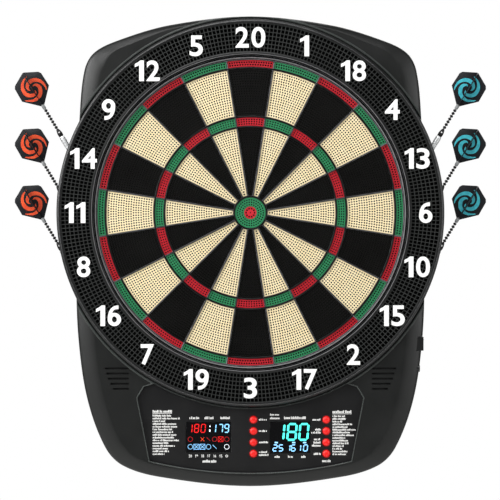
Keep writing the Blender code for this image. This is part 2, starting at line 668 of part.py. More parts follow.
def make_darts():
    shaft_end = -SHAFT_LENGTH
    barrel_end = shaft_end - BARREL_LENGTH
    foot = [(radius * MM, shaft_end + distance * MM) for radius, distance in SHAFT_FOOT]
    profile = [(0, 0), (COLLAR[0], 0), (SHAFT_RADIUS, -COLLAR[1]), *foot,
               (BARREL_RADIUS, shaft_end - BARREL_TAPERS[0]), (BARREL_RADIUS, barrel_end + BARREL_TAPERS[1]),
               (BARREL_END_RADIUS, barrel_end), (TIP_ROOT[0], barrel_end - TIP_ROOT[1]),
               (TIP_POINT[0], TIP_POINT[1] - DART_LENGTH), (0, -DART_LENGTH)]
    vane = [(width * MM, along * MM) for along, width in FLIGHT_OUTLINE]
    vane += [(-width, along) for width, along in reversed(vane)]
    for side, word, colour in ((-1, "left", flight_orange), (1, "right", flight_cyan)):
        tilt = side * (math.pi / 2 - DART_SLOPE)
        for row in range(DART_COUNT):
            x, depth, z = dart_point(side, row, 0.0)
            stand = Matrix.Translation((x, -depth, z)) @ Matrix.Rotation(tilt, 4, "Y")
            dart = turned(f"dart_{word}_{row + 1}", profile, 10, metal_grey)
            dart.matrix_world = stand
            half = FLIGHT_THICKNESS / 2
            flight = plate(f"flight_{word}_{row + 1}", [vane], (-half, half), colour)
            cross = plate(f"cross_vane_{word}_{row + 1}", [vane], (-half, half))
            flight.matrix_world = stand
            cross.matrix_world = stand @ Matrix.Rotation(math.pi / 2, 4, "Z")
            combine(flight, cross, "UNION")


make_front_housing()
make_rear_cover()
make_layers()
make_spider()
make_segments()
make_bulls()
make_catch_ring()
make_panel()
make_buttons()
make_speakers()
make_switch()
make_jack()
make_darts()

bpy.context.view_layer.update()
for part in parts.objects:
    rounded(part)
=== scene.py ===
import math
import random

import bmesh
import bpy
from mathutils import Matrix, Vector
from mathutils.geometry import interpolate_bezier


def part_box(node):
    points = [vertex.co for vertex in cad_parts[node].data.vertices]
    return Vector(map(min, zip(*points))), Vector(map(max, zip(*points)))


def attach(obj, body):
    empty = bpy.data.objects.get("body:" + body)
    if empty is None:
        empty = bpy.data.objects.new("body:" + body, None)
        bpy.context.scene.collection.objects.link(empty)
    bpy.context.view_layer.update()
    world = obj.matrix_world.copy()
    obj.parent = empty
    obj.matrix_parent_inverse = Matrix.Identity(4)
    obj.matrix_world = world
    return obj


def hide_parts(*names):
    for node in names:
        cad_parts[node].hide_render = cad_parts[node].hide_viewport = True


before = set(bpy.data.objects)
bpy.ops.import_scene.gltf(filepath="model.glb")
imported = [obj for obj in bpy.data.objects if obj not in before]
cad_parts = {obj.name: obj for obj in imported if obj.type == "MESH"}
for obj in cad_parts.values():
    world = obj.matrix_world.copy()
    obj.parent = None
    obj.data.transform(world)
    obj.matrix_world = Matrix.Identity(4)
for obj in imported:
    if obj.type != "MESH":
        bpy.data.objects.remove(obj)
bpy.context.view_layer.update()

for spare in ("Cube", "Light", "Camera"):
    if spare in bpy.data.objects:
        bpy.data.objects.remove(bpy.data.objects[spare])

# Places are (x, z) as the players see them, and depths are distances from the wall, so y = -depth.
mm = 0.001
facing = Matrix.Rotation(math.pi / 2, 4, "X")  # turns a drawing's +Z towards the players
numbers = [20, 1, 18, 4, 13, 6, 10, 15, 2, 17, 3, 19, 7, 16, 8, 11, 14, 9, 12, 5]
sectorAngle = math.tau / len(numbers)
print("frame loaded:", len(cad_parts), "nodes")


def linear(hexColour):
    shares = [int(hexColour[start:start + 2], 16) / 255 for start in (1, 3, 5)]
    return tuple(s / 12.92 if s <= 0.04045 else ((s + 0.055) / 1.055) ** 2.4 for s in shares) + (1,)


def addNode(tree, kind, settings=None, inputs=None):
    node = tree.nodes.new(kind)
    for name, value in (settings or {}).items():
        setattr(node, name, value)
    for name, value in (inputs or {}).items():
        if isinstance(value, bpy.types.NodeSocket):
            tree.links.new(value, node.inputs[name])
        else:
            node.inputs[name].default_value = value
    return node


def startMaterial(name, sockets):
    material = bpy.data.materials.new(name)
    material.use_nodes = True
    tree = material.node_tree
    shader = tree.nodes["Principled BSDF"]
    for socket, value in sockets.items():
        shader.inputs[socket].default_value = value
    place = addNode(tree, "ShaderNodeTexCoord").outputs["Object"]
    return material, tree, shader, place


def addGrain(tree, shader, place, grain, height, roughness, spread):
    # bump from the mould's or the tool's texture, and a roughness that wanders a little
    fine = addNode(tree, "ShaderNodeTexNoise", None, {"Vector": place, "Scale": 1 / grain, "Detail": 2.0})
    bump = addNode(tree, "ShaderNodeBump", None,
                   {"Height": fine.outputs["Fac"], "Distance": height, "Strength": 1.0})
    tree.links.new(bump.outputs["Normal"], shader.inputs["Normal"])
    wide = addNode(tree, "ShaderNodeTexNoise", None, {"Vector": place, "Scale": 30.0, "Detail": 4.0})
    wear = addNode(tree, "ShaderNodeMapRange", None,
                   {"Value": wide.outputs["Fac"], "From Min": 0.3, "From Max": 0.7,
                    "To Min": roughness - spread, "To Max": roughness + spread})
    tree.links.new(wear.outputs["Result"], shader.inputs["Roughness"])


def mixedColour(tree, factor, first, second):
    mix = addNode(tree, "ShaderNodeMix", {"data_type": "RGBA"}, {0: factor, 6: first, 7: second})
    return mix.outputs[2]


def moulded(name, colour, shade, roughness=0.45, spread=0.06, grain=1.2 * mm, height=0.02 * mm,
            patch=60 * mm, **sockets):
    # thermoplastic straight from the mould: colour drifts a little with the flow
    material, tree, shader, place = startMaterial(name, {"IOR": 1.53, **sockets})
    flow = addNode(tree, "ShaderNodeTexNoise", None, {"Vector": place, "Scale": 1 / patch, "Detail": 3.0})
    base = mixedColour(tree, flow.outputs["Fac"], linear(colour), linear(shade))
    tree.links.new(base, shader.inputs["Base Color"])
    addGrain(tree, shader, place, grain, height, roughness, spread)
    return material


def segmentPlastic(name, colour, shade, pit, face, gloss=0.45):
    # polypropylene that soft tips sink into: satin, with painted shade that darkens it down in its holes and
    # side gaps
    material, tree, shader, place = startMaterial(name, {"IOR": 1.49, "Specular IOR Level": gloss})
    flow = addNode(tree, "ShaderNodeTexNoise", None, {"Vector": place, "Scale": 1 / (7 * mm), "Detail": 5.0})
    base = mixedColour(tree, flow.outputs["Fac"], linear(colour), linear(shade))
    split = addNode(tree, "ShaderNodeSeparateXYZ", None, {"Vector": place})
    # painted shade: from 0.4 to 1.4 mm below the face the colour runs to the dark one given as pit
    paintedShadeMask = addNode(tree, "ShaderNodeMapRange", None,
                   {"Value": split.outputs["Y"], "From Min": -face + 0.4 * mm, "From Max": -face + 1.4 * mm,
                    "To Min": 0.0, "To Max": 1.0})
    tree.links.new(mixedColour(tree, paintedShadeMask.outputs["Result"], base, linear(pit)), shader.inputs["Base Color"])
    addGrain(tree, shader, place, 0.9 * mm, 0.012 * mm, 0.48, 0.07)
    return material


def glowing(name, colour, strength):
    # light-emitting diodes behind a diffuser: the edges of each bar fall off a little
    material, tree, shader, place = startMaterial(name, {"Roughness": 0.4, "Emission Strength": strength})
    shader.inputs["Base Color"].default_value = linear(colour)
    haze = addNode(tree, "ShaderNodeTexNoise", None, {"Vector": place, "Scale": 900.0, "Detail": 1.0})
    dim = tuple(0.8 * share for share in linear(colour)[:3]) + (1,)
    tree.links.new(mixedColour(tree, haze.outputs["Fac"], dim, linear(colour)),
                   shader.inputs["Emission Color"])
    return material


def metal(name, colour, shade, roughness, spread, grain, height):
    material, tree, shader, place = startMaterial(name, {"Metallic": 1.0})
    stain = addNode(tree, "ShaderNodeTexNoise", None, {"Vector": place, "Scale": 180.0, "Detail": 3.0})
    base = mixedColour(tree, stain.outputs["Fac"], linear(colour), linear(shade))
    tree.links.new(base, shader.inputs["Base Color"])
    addGrain(tree, shader, place, grain, height, roughness, spread)
    return material


def cellular(name, colour, shade, cell, height, roughness):
    # open foam and fibre boards: cells or fibres of about the given size
    material, tree, shader, place = startMaterial(name, {"Roughness": roughness})
    cells = addNode(tree, "ShaderNodeTexVoronoi", None, {"Vector": place, "Scale": 1 / cell})
    base = mixedColour(tree, cells.outputs["Distance"], linear(shade), linear(colour))
    tree.links.new(base, shader.inputs["Base Color"])
    bump = addNode(tree, "ShaderNodeBump", None, {"Height": cells.outputs["Distance"], "Distance": height})
    tree.links.new(bump.outputs["Normal"], shader.inputs["Normal"])
    return material


segmentFace = 31 * mm  # depth of the segments' fronts
# ABS from a spark-eroded mould: even satin black, its 0.3 mm grain drawn coarser so that it shows
casingAbs = moulded("casingAbsSatin", "#080a09", "#0d0f0e", 0.44, 0.05, 1.6 * mm, 0.022 * mm,
                    **{"Specular IOR Level": 0.42})
# the same ABS from a smoother tool, so the ring's walls catch thin lights
ringAbs = moulded("ringAbsSatin", "#101111", "#161717", 0.34, 0.05, 1.1 * mm, 0.012 * mm)
gridShadow = moulded("ringGridShadow", "#050505", "#080808", 0.6, 0.05, 1.1 * mm, 0.012 * mm,
                     **{"Specular IOR Level": 0.15})
# ABS from a polished tool, coloured lighter than the casing: a painted highlight for the bead round the ring
# and the panel's trim
trimHighlightAbs = moulded("trimAbsPolishedPaintedHighlight", "#3a3e3c", "#444846", 0.26, 0.05, 1.1 * mm, 0.01 * mm)
# grey ABS for the ring's grid, lighter than the ring: a painted highlight on the ribs
gridHighlightAbs = moulded("ringGridAbsPaintedHighlight", "#343635", "#3e403f", 0.34, 0.05, 1.1 * mm, 0.012 * mm)
# glossy ABS, polished by darts sliding off the ribs
spiderAbs = moulded("spiderAbsGloss", "#0a0a0b", "#101011", 0.24, 0.06, 0.9 * mm, 0.008 * mm)
# the same ABS coloured pale on its rounded edges: a painted highlight, its tone wandering in patches
spiderEdgeHighlight = moulded("spiderAbsPaintedEdgeHighlight", "#48484c", "#b4b4b8", 0.3, 0.05, 0.9 * mm, 0.008 * mm, 9 * mm)
# pale ABS for the ridge round the doubles and the ring's lips: painted highlight lines
ridgeHighlightAbs = moulded("ridgeAbsPaintedHighlight", "#6e6e70", "#929294", 0.28, 0.05, 0.9 * mm, 0.008 * mm, 9 * mm)
segmentCream = segmentPlastic("segmentPolypropyleneCream", "#ffefca", "#f4dfae", "#1c1206", segmentFace)
segmentBlack = segmentPlastic("segmentPolypropyleneBlack", "#040403", "#080806", "#020202", segmentFace, 0.22)
segmentRed = segmentPlastic("segmentPolypropyleneRed", "#cf2030", "#b21826", "#1c0204", segmentFace)
pitShadow = segmentPlastic("segmentPitShadow", "#120c05", "#0a0703", "#020202", segmentFace, 0.1)
segmentGreen = segmentPlastic("segmentPolypropyleneGreen", "#33935f", "#267d52", "#020f08", segmentFace)
# polycarbonate overlay, screen printed from behind: flat, satin and a little deeper than the casing
panelFilm = moulded("panelPolycarbonateFilm", "#101011", "#151516", 0.33, 0.04, 0.8 * mm, 0.005 * mm)
printWhite = moulded("screenPrintWhite", "#f4f4f2", "#e9e9e6", 0.5, 0.05, 0.5 * mm, 0.004 * mm)
numberWhite = moulded("numberAbsWhite", "#ffffff", "#f6f6f4", 0.42, 0.05, 1.0 * mm, 0.006 * mm)
# smoked acrylic window over the displays: nearly black, with a sharp gloss
smokedAcrylic = moulded("smokedAcrylicWindow", "#030304", "#07070a", 0.12, 0.03, 9 * mm, 0.004 * mm)
litRed = glowing("displayLightRed", "#ee1414", 0.5)
litDeepRed = glowing("displayLightDeepRed", "#b01414", 0.36)
litOrange = glowing("displayLightOrange", "#ff4c18", 0.45)
litIce = glowing("displayLightIceBlue", "#86c8f6", 1.0)
litBlue = glowing("displayLightBlue", "#8ccafa", 1.1)
litTurquoise = glowing("displayLightTurquoise", "#4cecd8", 1.0)
litWhite = glowing("displayLightWhite", "#f4f8ff", 1.1)
# silicone caps that glow a little: painted light that brightens their red
buttonSiliconeGlow = moulded("buttonSiliconeRedPaintedGlow", "#ee1612", "#e0120f", 0.42, 0.05, 0.7 * mm, 0.006 * mm,
                         **{"Emission Color": linear("#ff0c04"), "Emission Strength": 0.13})
collarSilicone = moulded("buttonCollarSiliconeMaroon", "#5a0c0e", "#3d0809", 0.5, 0.05, 0.7 * mm, 0.006 * mm)
# PET film of the flights, with two printed inks
flightFilm = moulded("flightPetFilmBlack", "#0f1114", "#171a1f", 0.45, 0.05, 2.5 * mm, 0.01 * mm,
                     **{"Specular IOR Level": 0.25})
inkOrange = moulded("flightInkOrange", "#ff6a34", "#c8281a", 0.4, 0.05, 2.5 * mm, 0.01 * mm, 5 * mm)
inkCyan = moulded("flightInkCyan", "#5fe0ea", "#1690a8", 0.4, 0.05, 2.5 * mm, 0.01 * mm, 5 * mm)
shaftNylon = moulded("shaftNylonBlack", "#060607", "#0b0b0c", 0.5, 0.05, 0.6 * mm, 0.006 * mm,
                     **{"Specular IOR Level": 0.25})
collarNylon = moulded("shaftCollarNylonGrey", "#8b8d8e", "#77797a", 0.4, 0.05, 0.6 * mm, 0.006 * mm)
# brass, turned, grooved and nickel plated
barrelNickel = metal("barrelNickelPlatedBrass", "#eceded", "#d6d8d9", 0.5, 0.06, 0.7 * mm, 0.008 * mm)
# zinc-plated steel: dull grey with a soft sparkle
screwZinc = metal("screwZincPlatedSteel", "#a9abad", "#8c8f92", 0.35, 0.08, 0.6 * mm, 0.01 * mm)
# pressed steel basket and pulp cone, both sprayed black
speakerBlack = moulded("speakerBlackPulp", "#0b0b0b", "#121212", 0.75, 0.08, 1.5 * mm, 0.05 * mm)
hardboard = cellular("hardboardFibre", "#8a5f38", "#6b4626", 1.4 * mm, 0.05 * mm, 0.8)
padFoam = cellular("padFoamRubber", "#3b3b3c", "#232324", 1.2 * mm, 0.15 * mm, 0.9)
membraneFilm = moulded("membranePolyesterFilm", "#b9bcb6", "#a6aaa2", 0.28, 0.05, 3 * mm, 0.01 * mm)
boardMask = moulded("boardSolderMaskGreen", "#12633a", "#0d4f2e", 0.35, 0.06, 2 * mm, 0.03 * mm, 5 * mm)
print("materials ready:", len(bpy.data.materials))


def toMesh(thing):
    # the evaluated result as a plain mesh, in its place; the object goes
    bpy.context.view_layer.update()
    graph = bpy.context.evaluated_depsgraph_get()
    mesh = bpy.data.meshes.new_from_object(thing.evaluated_get(graph))
    mesh.transform(thing.matrix_world)
    bpy.data.objects.remove(thing)
    return mesh


def closed(mesh):
    bm = bmesh.new()
    bm.from_mesh(mesh)
    bmesh.ops.remove_doubles(bm, verts=bm.verts, dist=0.002 * mm)
    bmesh.ops.recalc_face_normals(bm, faces=bm.faces)
    bm.to_mesh(mesh)
    bm.free()
    return mesh


def fromBmesh(bm, place=None):
    if place:
        bmesh.ops.transform(bm, matrix=place, verts=bm.verts)
    bmesh.ops.recalc_face_normals(bm, faces=bm.faces)
    mesh = bpy.data.meshes.new("part")
    bm.to_mesh(mesh)
    bm.free()
    return mesh


def addObject(name, mesh):
    thing = bpy.data.objects.new(name, mesh)
    bpy.context.scene.collection.objects.link(thing)
    return thing


def addPiece(name, parts, materials, body="root", replaced=(), sharp=35, flatFaces=False):
    # parts are (mesh, number of its material); they become one object that rides on body
    bm = bmesh.new()
    for mesh, number in parts:
        own = [materials.index(material) if material in materials else number
               for material in mesh.materials]
        first = len(bm.faces)
        bm.from_mesh(mesh)
        bm.faces.ensure_lookup_table()
        for face in bm.faces[first:]:
            face.material_index = own[face.material_index] if own else number
        bpy.data.meshes.remove(mesh)
    whole = bpy.data.meshes.new(name)
    bm.to_mesh(whole)
    bm.free()
    for material in materials:
        whole.materials.append(material)
    whole.shade_smooth()
    whole.set_sharp_from_angle(angle=math.radians(sharp))
    piece = addObject(name, whole)
    if flatFaces:  # large flats keep their own normal, and the shading bends only in the rounded edges
        weighted = piece.modifiers.new("normals", "WEIGHTED_NORMAL")
        weighted.keep_sharp = True
        piece = addObject(name, toMesh(piece))
        piece.name = name
    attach(piece, body)
    if replaced:
        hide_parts(*replaced)
    return piece


def cut(mesh, tools):
    # tools are ("DIFFERENCE", "UNION" or "INTERSECT", mesh) in the order they are used
    thing = addObject("blank", mesh)
    helpers = []
    for operation, tool in tools:
        helpers.append(addObject("tool", tool))
        modifier = thing.modifiers.new("cut", "BOOLEAN")
        modifier.operation = operation
        modifier.object = helpers[-1]
        modifier.solver = "EXACT"
    result = toMesh(thing)
    for helper in helpers:
        bpy.data.objects.remove(helper)
    return result


def area(loop):
    return sum(x0 * z1 - x1 * z0 for (x0, z0), (x1, z1) in zip(loop, loop[1:] + loop[:1])) / 2


def plate(outer, holes, back, front, edge=0.0, steps=2):
    # a flat piece between two depths, its edges rounded by edge
    curve = bpy.data.curves.new("drawing", "CURVE")
    curve.dimensions = "2D"
    curve.fill_mode = "BOTH"
    curve.extrude = (front - back) / 2 - edge
    curve.bevel_depth = edge
    curve.bevel_resolution = steps
    curve.offset = -edge
    for loop, turn in [(outer, -1)] + [(hole, 1) for hole in holes]:
        ordered = loop if area(loop) * turn > 0 else loop[::-1]
        spline = curve.splines.new("POLY")
        spline.points.add(len(ordered) - 1)
        for point, (x, z) in zip(spline.points, ordered):
            point.co = (x, z, 0, 1)
        spline.use_cyclic_u = True
    drawing = addObject("drawing", curve)
    drawing.matrix_world = Matrix.Translation((0, -(back + front) / 2, 0)) @ facing
    return closed(toMesh(drawing))


def prisms(outlines, back, front):
    # one closed prism for each convex outline
    bm = bmesh.new()
    for outline in outlines:
        low = [bm.verts.new((x, -back, z)) for x, z in outline]
        high = [bm.verts.new((x, -front, z)) for x, z in outline]
        bm.faces.new(low)
        bm.faces.new(high)
        for i in range(len(outline)):
            j = (i + 1) % len(outline)
            bm.faces.new((low[i], low[j], high[j], high[i]))
    return fromBmesh(bm)


def turned(profile, steps, place):
    # solid of revolution about its own Z; profile is (radius, height) points
    bm = bmesh.new()
    verts = [bm.verts.new((radius, 0, height)) for radius, height in profile]
    edges = [bm.edges.new(pair) for pair in zip(verts, verts[1:])]
    if profile[0][0] > 0:
        edges.append(bm.edges.new((verts[-1], verts[0])))
    bmesh.ops.spin(bm, geom=verts + edges, cent=(0, 0, 0), axis=(0, 0, 1), angle=math.tau, steps=steps)
    bmesh.ops.remove_doubles(bm, verts=bm.verts, dist=0.002 * mm)
    return fromBmesh(bm, place)


def roundBull(profile, steps=240):
    # turned about the bull's axis; profile is (radius, depth) points
    return turned(profile, steps, facing)


def rod(start, end, radius, steps=24):
    # a cylinder between two (x, depth, z) points
    first = Vector((start[0], -start[1], start[2]))
    last = Vector((end[0], -end[1], end[2]))
    bm = bmesh.new()
    bmesh.ops.create_cone(bm, cap_ends=True, segments=steps, radius1=radius, radius2=radius,
                          depth=(last - first).length)
    aim = (last - first).to_track_quat("Z", "Y").to_matrix().to_4x4()
    return fromBmesh(bm, Matrix.Translation((first + last) / 2) @ aim)


def block(low, high, edge=0.0):
    # a box between two (x, depth, z) corners, with its edges rounded by edge
    bm = bmesh.new()
    bmesh.ops.create_cube(bm, size=1)
    size = [high[axis] - low[axis] for axis in range(3)]
    middle = [(high[axis] + low[axis]) / 2 for axis in range(3)]
    bmesh.ops.scale(bm, vec=size, verts=bm.verts)
    bmesh.ops.translate(bm, vec=(middle[0], -middle[1], middle[2]), verts=bm.verts)
    if edge:
        bmesh.ops.bevel(bm, geom=bm.edges, offset=edge, segments=3, profile=0.5, affect="EDGES")
    return fromBmesh(bm)


def tube(points, radius, loop=True, sides=3):
    # round bead along (x, depth, z) points
    curve = bpy.data.curves.new("bead", "CURVE")
    curve.dimensions = "3D"
    curve.bevel_depth = radius
    curve.bevel_resolution = sides
    curve.use_fill_caps = not loop
    spline = curve.splines.new("POLY")
    spline.points.add(len(points) - 1)
    for point, (x, depth, z) in zip(spline.points, points):
        point.co = (x, -depth, z, 1)
    spline.use_cyclic_u = loop
    return closed(toMesh(addObject("bead", curve)))


def circle(radius, steps=240, centre=(0, 0)):
    angles = [math.tau * step / steps for step in range(steps)]
    return [(centre[0] + radius * math.sin(a), centre[1] + radius * math.cos(a)) for a in angles]


# the camera stands straight in front, a little off the bull
view = {"lens": 135, "sensor": 36, "aim": (-0.45 * mm, -41.75 * mm), "width": 560.3 * mm, "depth": 32 * mm}


def setCamera():
    lens = bpy.data.cameras.new("camera")
    lens.lens = view["lens"]
    lens.sensor_width = view["sensor"]
    distance = view["width"] * view["lens"] / view["sensor"]
    camera = bpy.data.objects.new("camera", lens)
    bpy.context.scene.collection.objects.link(camera)
    camera.location = (view["aim"][0], -view["depth"] - distance, view["aim"][1])
    camera.rotation_euler = (math.pi / 2, 0, 0)
    bpy.context.scene.camera = camera


# large soft boxes: name, place, aim, size, power in watts
lights = [
    ("keyLeft", (-1.9, -1.0, 0.7), (0, 0, 0), (1.0, 1.6), 52),
    ("fillRight", (1.9, -1.0, 0.3), (0, 0, 0), (0.8, 1.6), 17),
    ("topBox", (-0.2, -0.8, 1.9), (0, 0, 0.1), (1.8, 0.7), 18),
    ("frontBox", (-0.6, -2.3, 1.7), (0, 0, 0), (1.6, 0.7), 26),
    ("lowBox", (-0.3, -1.0, -1.3), (0, 0, -0.2), (1.4, 0.3), 3.0),
    ("backBox", (0.5, 2.4, 1.2), (0, 0, 0), (1.8, 1.8), 40),
]
floor = {"height": -0.95, "left": -2.2, "right": 2.2, "front": -2.4, "back": 2.0}


def setStage():
    scene = bpy.context.scene
    scene.view_settings.view_transform = "Standard"
    for name, place, aim, size, power in lights:
        lamp = bpy.data.lights.new(name, "AREA")
        lamp.shape = "RECTANGLE"
        lamp.size, lamp.size_y = size
        lamp.energy = power
        thing = bpy.data.objects.new(name, lamp)
        scene.collection.objects.link(thing)
        thing.location = place
        thing.rotation_euler = (Vector(aim) - Vector(place)).to_track_quat("-Z", "Y").to_euler()
    world = bpy.data.worlds.new("studio")
    world.use_nodes = True
    tree = world.node_tree
    tree.nodes.clear()
    seen = addNode(tree, "ShaderNodeLightPath").outputs["Is Camera Ray"]
    dim = addNode(tree, "ShaderNodeBackground", None, {"Color": linear("#ffffff"), "Strength": 0.12})
    bright = addNode(tree, "ShaderNodeBackground", None, {"Color": linear("#ffffff"), "Strength": 1.0})
    mix = addNode(tree, "ShaderNodeMixShader", None, {0: seen, 1: dim.outputs[0], 2: bright.outputs[0]})
    addNode(tree, "ShaderNodeOutputWorld", None, {"Surface": mix.outputs[0]})
    scene.world = world
    corners = [(floor[side], floor[end], floor["height"]) for side, end in
               (("left", "front"), ("right", "front"), ("right", "back"), ("left", "back"))]
    mesh = bpy.data.meshes.new("floor")
    mesh.from_pydata(corners, [], [(0, 1, 2, 3)])
    mesh.materials.append(moulded("floorPaintPale", "#eeeeec", "#e6e6e4", 0.7, 0.05, 20 * mm, 0.1 * mm))
    addObject("floor", mesh)


setCamera()
setStage()
print("camera, lights and floor set")


# Casing: two shells on one outline, given by the right half from the top edge down
casing = {
    "halfOutline": [(0, 221.3), (90, 211.7), (150, 194.0), (176.5, 180.0), (187.1, 160.0),
                    (192.6, 105.0), (195.9, 20.0), (196.4, -70.0), (193.6, -143.0), (183.6, -210.0),
                    (163.6, -264.0), (144.0, -284.5), (102.0, -297.5), (0, -307.8)],
    "outlineSteps": 9,
    "split": 9.3 * mm, "front": 30 * mm, "wall": 2.5 * mm,
    "rollSide": 20 * mm, "rollBottom": 13 * mm, "rollTop": 3.2 * mm, "rollDrop": 9.5 * mm,
    # how the front edge rolls over: share of the way in, share of the drop that is left
    "roll": [(0.0, 1.0), (0.02, 0.84), (0.07, 0.70), (0.15, 0.58), (0.27, 0.46), (0.42, 0.33),
             (0.58, 0.205), (0.72, 0.11), (0.84, 0.045), (0.93, 0.012), (1.0, 0.0)],
    "targetHole": 178.5 * mm,
    "bead": (218.7 * mm, 221.3 * mm, 31.5 * mm),
}
slots = {"top": -174.6 * mm, "pitch": 5.73 * mm, "height": 2.2 * mm, "inner": 136.2 * mm,
         "outer": [163.6 * mm, 161.9 * mm, 160.2 * mm, 157.4 * mm, 154.6 * mm]}
posts = {"places": [(158 * mm, 158 * mm), (170 * mm, -152 * mm), (141 * mm, -262 * mm)],
         "radius": 4.5 * mm, "boss": 7.5 * mm, "headBore": 4.6 * mm, "sink": 4.5 * mm}
keyhole = {"place": (90 * mm, 100 * mm), "entry": 5 * mm, "slot": 2.5 * mm, "rise": 14 * mm}
dart = {"depth": 19 * mm, "start": (-233.6 * mm, 120.5 * mm), "pitch": 63.9 * mm,
        "slope": math.atan2(0.854, 0.52), "shaft": 39.8 * mm, "barrel": 40 * mm, "tip": 25 * mm,
        "wideBore": 4.0 * mm, "narrowBore": 2.7 * mm}
# the blocks inside the side walls that the darts' tips stand in
holder = {"back": 13.5 * mm, "front": 24.4 * mm, "side": 189 * mm, "mouth": 27 * mm, "foot": 4 * mm,
          "inward": 7 * mm, "below": 3 * mm, "above": 9 * mm}


def casingOutline():
    right = [Vector((x * mm, z * mm)) for x, z in casing["halfOutline"]]
    keys = right + [Vector((-key.x, key.y)) for key in reversed(right[1:-1])]
    outline = []
    for i, key in enumerate(keys):
        after = keys[(i + 1) % len(keys)]
        reach = (after - key).length / 3
        outWay = (after - keys[i - 1]).normalized()
        inWay = (keys[(i + 2) % len(keys)] - key).normalized()
        outline += interpolate_bezier(key, key + outWay * reach, after - inWay * reach, after,
                                      casing["outlineSteps"] + 1)[:-1]
    return outline


def insetOutline(outline, widthAt, share):
    # the outline moved inwards by a share of the width that its direction asks for
    moved = []
    for i, point in enumerate(outline):
        along = outline[(i + 1) % len(outline)] - outline[i - 1]
        outWay = Vector((-along.y, along.x)).normalized()
        moved.append(point - outWay * widthAt(outWay, point) * share)
    return moved


def rollWidth(outWay, point):
    across = min(1.0, abs(outWay.x) / 0.75) ** 2 * (3 - 2 * min(1.0, abs(outWay.x) / 0.75))
    end = casing["rollTop"] if outWay.y > 0 else casing["rollBottom"]
    return end + (casing["rollSide"] - end) * across


def shell(rows):
    # open tray from (loop, depth) rows, the last one filled, then given its wall
    bm = bmesh.new()
    rings = [[bm.verts.new((point[0], -depth, point[1])) for point in loop] for loop, depth in rows]
    for low, high in zip(rings, rings[1:]):
        for i in range(len(low)):
            j = (i + 1) % len(low)
            bm.faces.new((low[i], low[j], high[j], high[i]))
    lid = bm.faces.new(rings[-1])
    bmesh.ops.recalc_face_normals(bm, faces=bm.faces)
    bm.normal_update()
    outwards = -1 if rows[-1][1] > rows[0][1] else 1
    if lid.normal.y * outwards < 0:
        bmesh.ops.reverse_faces(bm, faces=bm.faces)
    mesh = bpy.data.meshes.new("shell")
    bm.to_mesh(mesh)
    bm.free()
    thing = addObject("shell", mesh)
    wall = thing.modifiers.new("wall", "SOLIDIFY")
    wall.thickness = casing["wall"]
    wall.offset = -1
    return toMesh(thing)


def dartPoint(side, row, along):
    # point on a stored dart's axis as (x, depth, z); side is -1 left, 1 right
    return (-side * dart["start"][0] - side * math.cos(dart["slope"]) * along, dart["depth"],
            dart["start"][1] - row * dart["pitch"] - math.sin(dart["slope"]) * along)


def stadium(left, right, middle, height):
    # a slot's outline with round ends
    half = height / 2
    arc = [math.pi * step / 8 for step in range(9)]
    ends = [(right - half + half * math.sin(a), middle + half * math.cos(a)) for a in arc]
    return ends + [(left + half - half * math.sin(a), middle - half * math.cos(a)) for a in arc]


panel = {
    "arcRadius": 219.9 * mm, "arcHalf": 108 * mm, "topCorner": (119.3 * mm, -195 * mm),
    "sideCorner": (126.9 * mm, -207.6 * mm), "bottomCorner": (113.5 * mm, -278.5 * mm),
    "bottom": -291.9 * mm, "lip": 3 * mm, "back": 24.5 * mm, "front": 27 * mm,
}


def panelOutline(grown=0.0, topGrown=None):
    # the control panel's outline, larger all round by grown
    radius = panel["arcRadius"] - (grown if topGrown is None else topGrown)
    arcHalf = math.asin(panel["arcHalf"] / panel["arcRadius"])
    angles = [arcHalf * (step / 16 - 1) for step in range(33)]
    top = [(radius * math.sin(a), -radius * math.cos(a)) for a in angles]
    cornerX, cornerZ = panel["bottomCorner"]
    sag = cornerZ - panel["bottom"]
    sweep = (cornerX ** 2 + sag ** 2) / (2 * sag)
    half = math.asin(cornerX / sweep)
    angles = [half * (1 - step / 12) for step in range(25)]
    bottom = [((sweep + grown) * math.sin(a), panel["bottom"] + sweep - (sweep + grown) * math.cos(a))
              for a in angles]
    corners = [(panel["topCorner"][0] + grown, panel["topCorner"][1] + grown / 2),
               (panel["sideCorner"][0] + grown, panel["sideCorner"][1])]
    return top + corners + bottom + [(-x, z) for x, z in reversed(corners)]


def taper(lowLoop, highLoop, back, front):
    # closed solid between two outlines of as many points
    bm = bmesh.new()
    low = [bm.verts.new((x, -back, z)) for x, z in lowLoop]
    high = [bm.verts.new((x, -front, z)) for x, z in highLoop]
    bm.faces.new(low)
    bm.faces.new(high)
    for i in range(len(low)):
        j = (i + 1) % len(low)
        bm.faces.new((low[i], low[j], high[j], high[i]))
    return fromBmesh(bm)


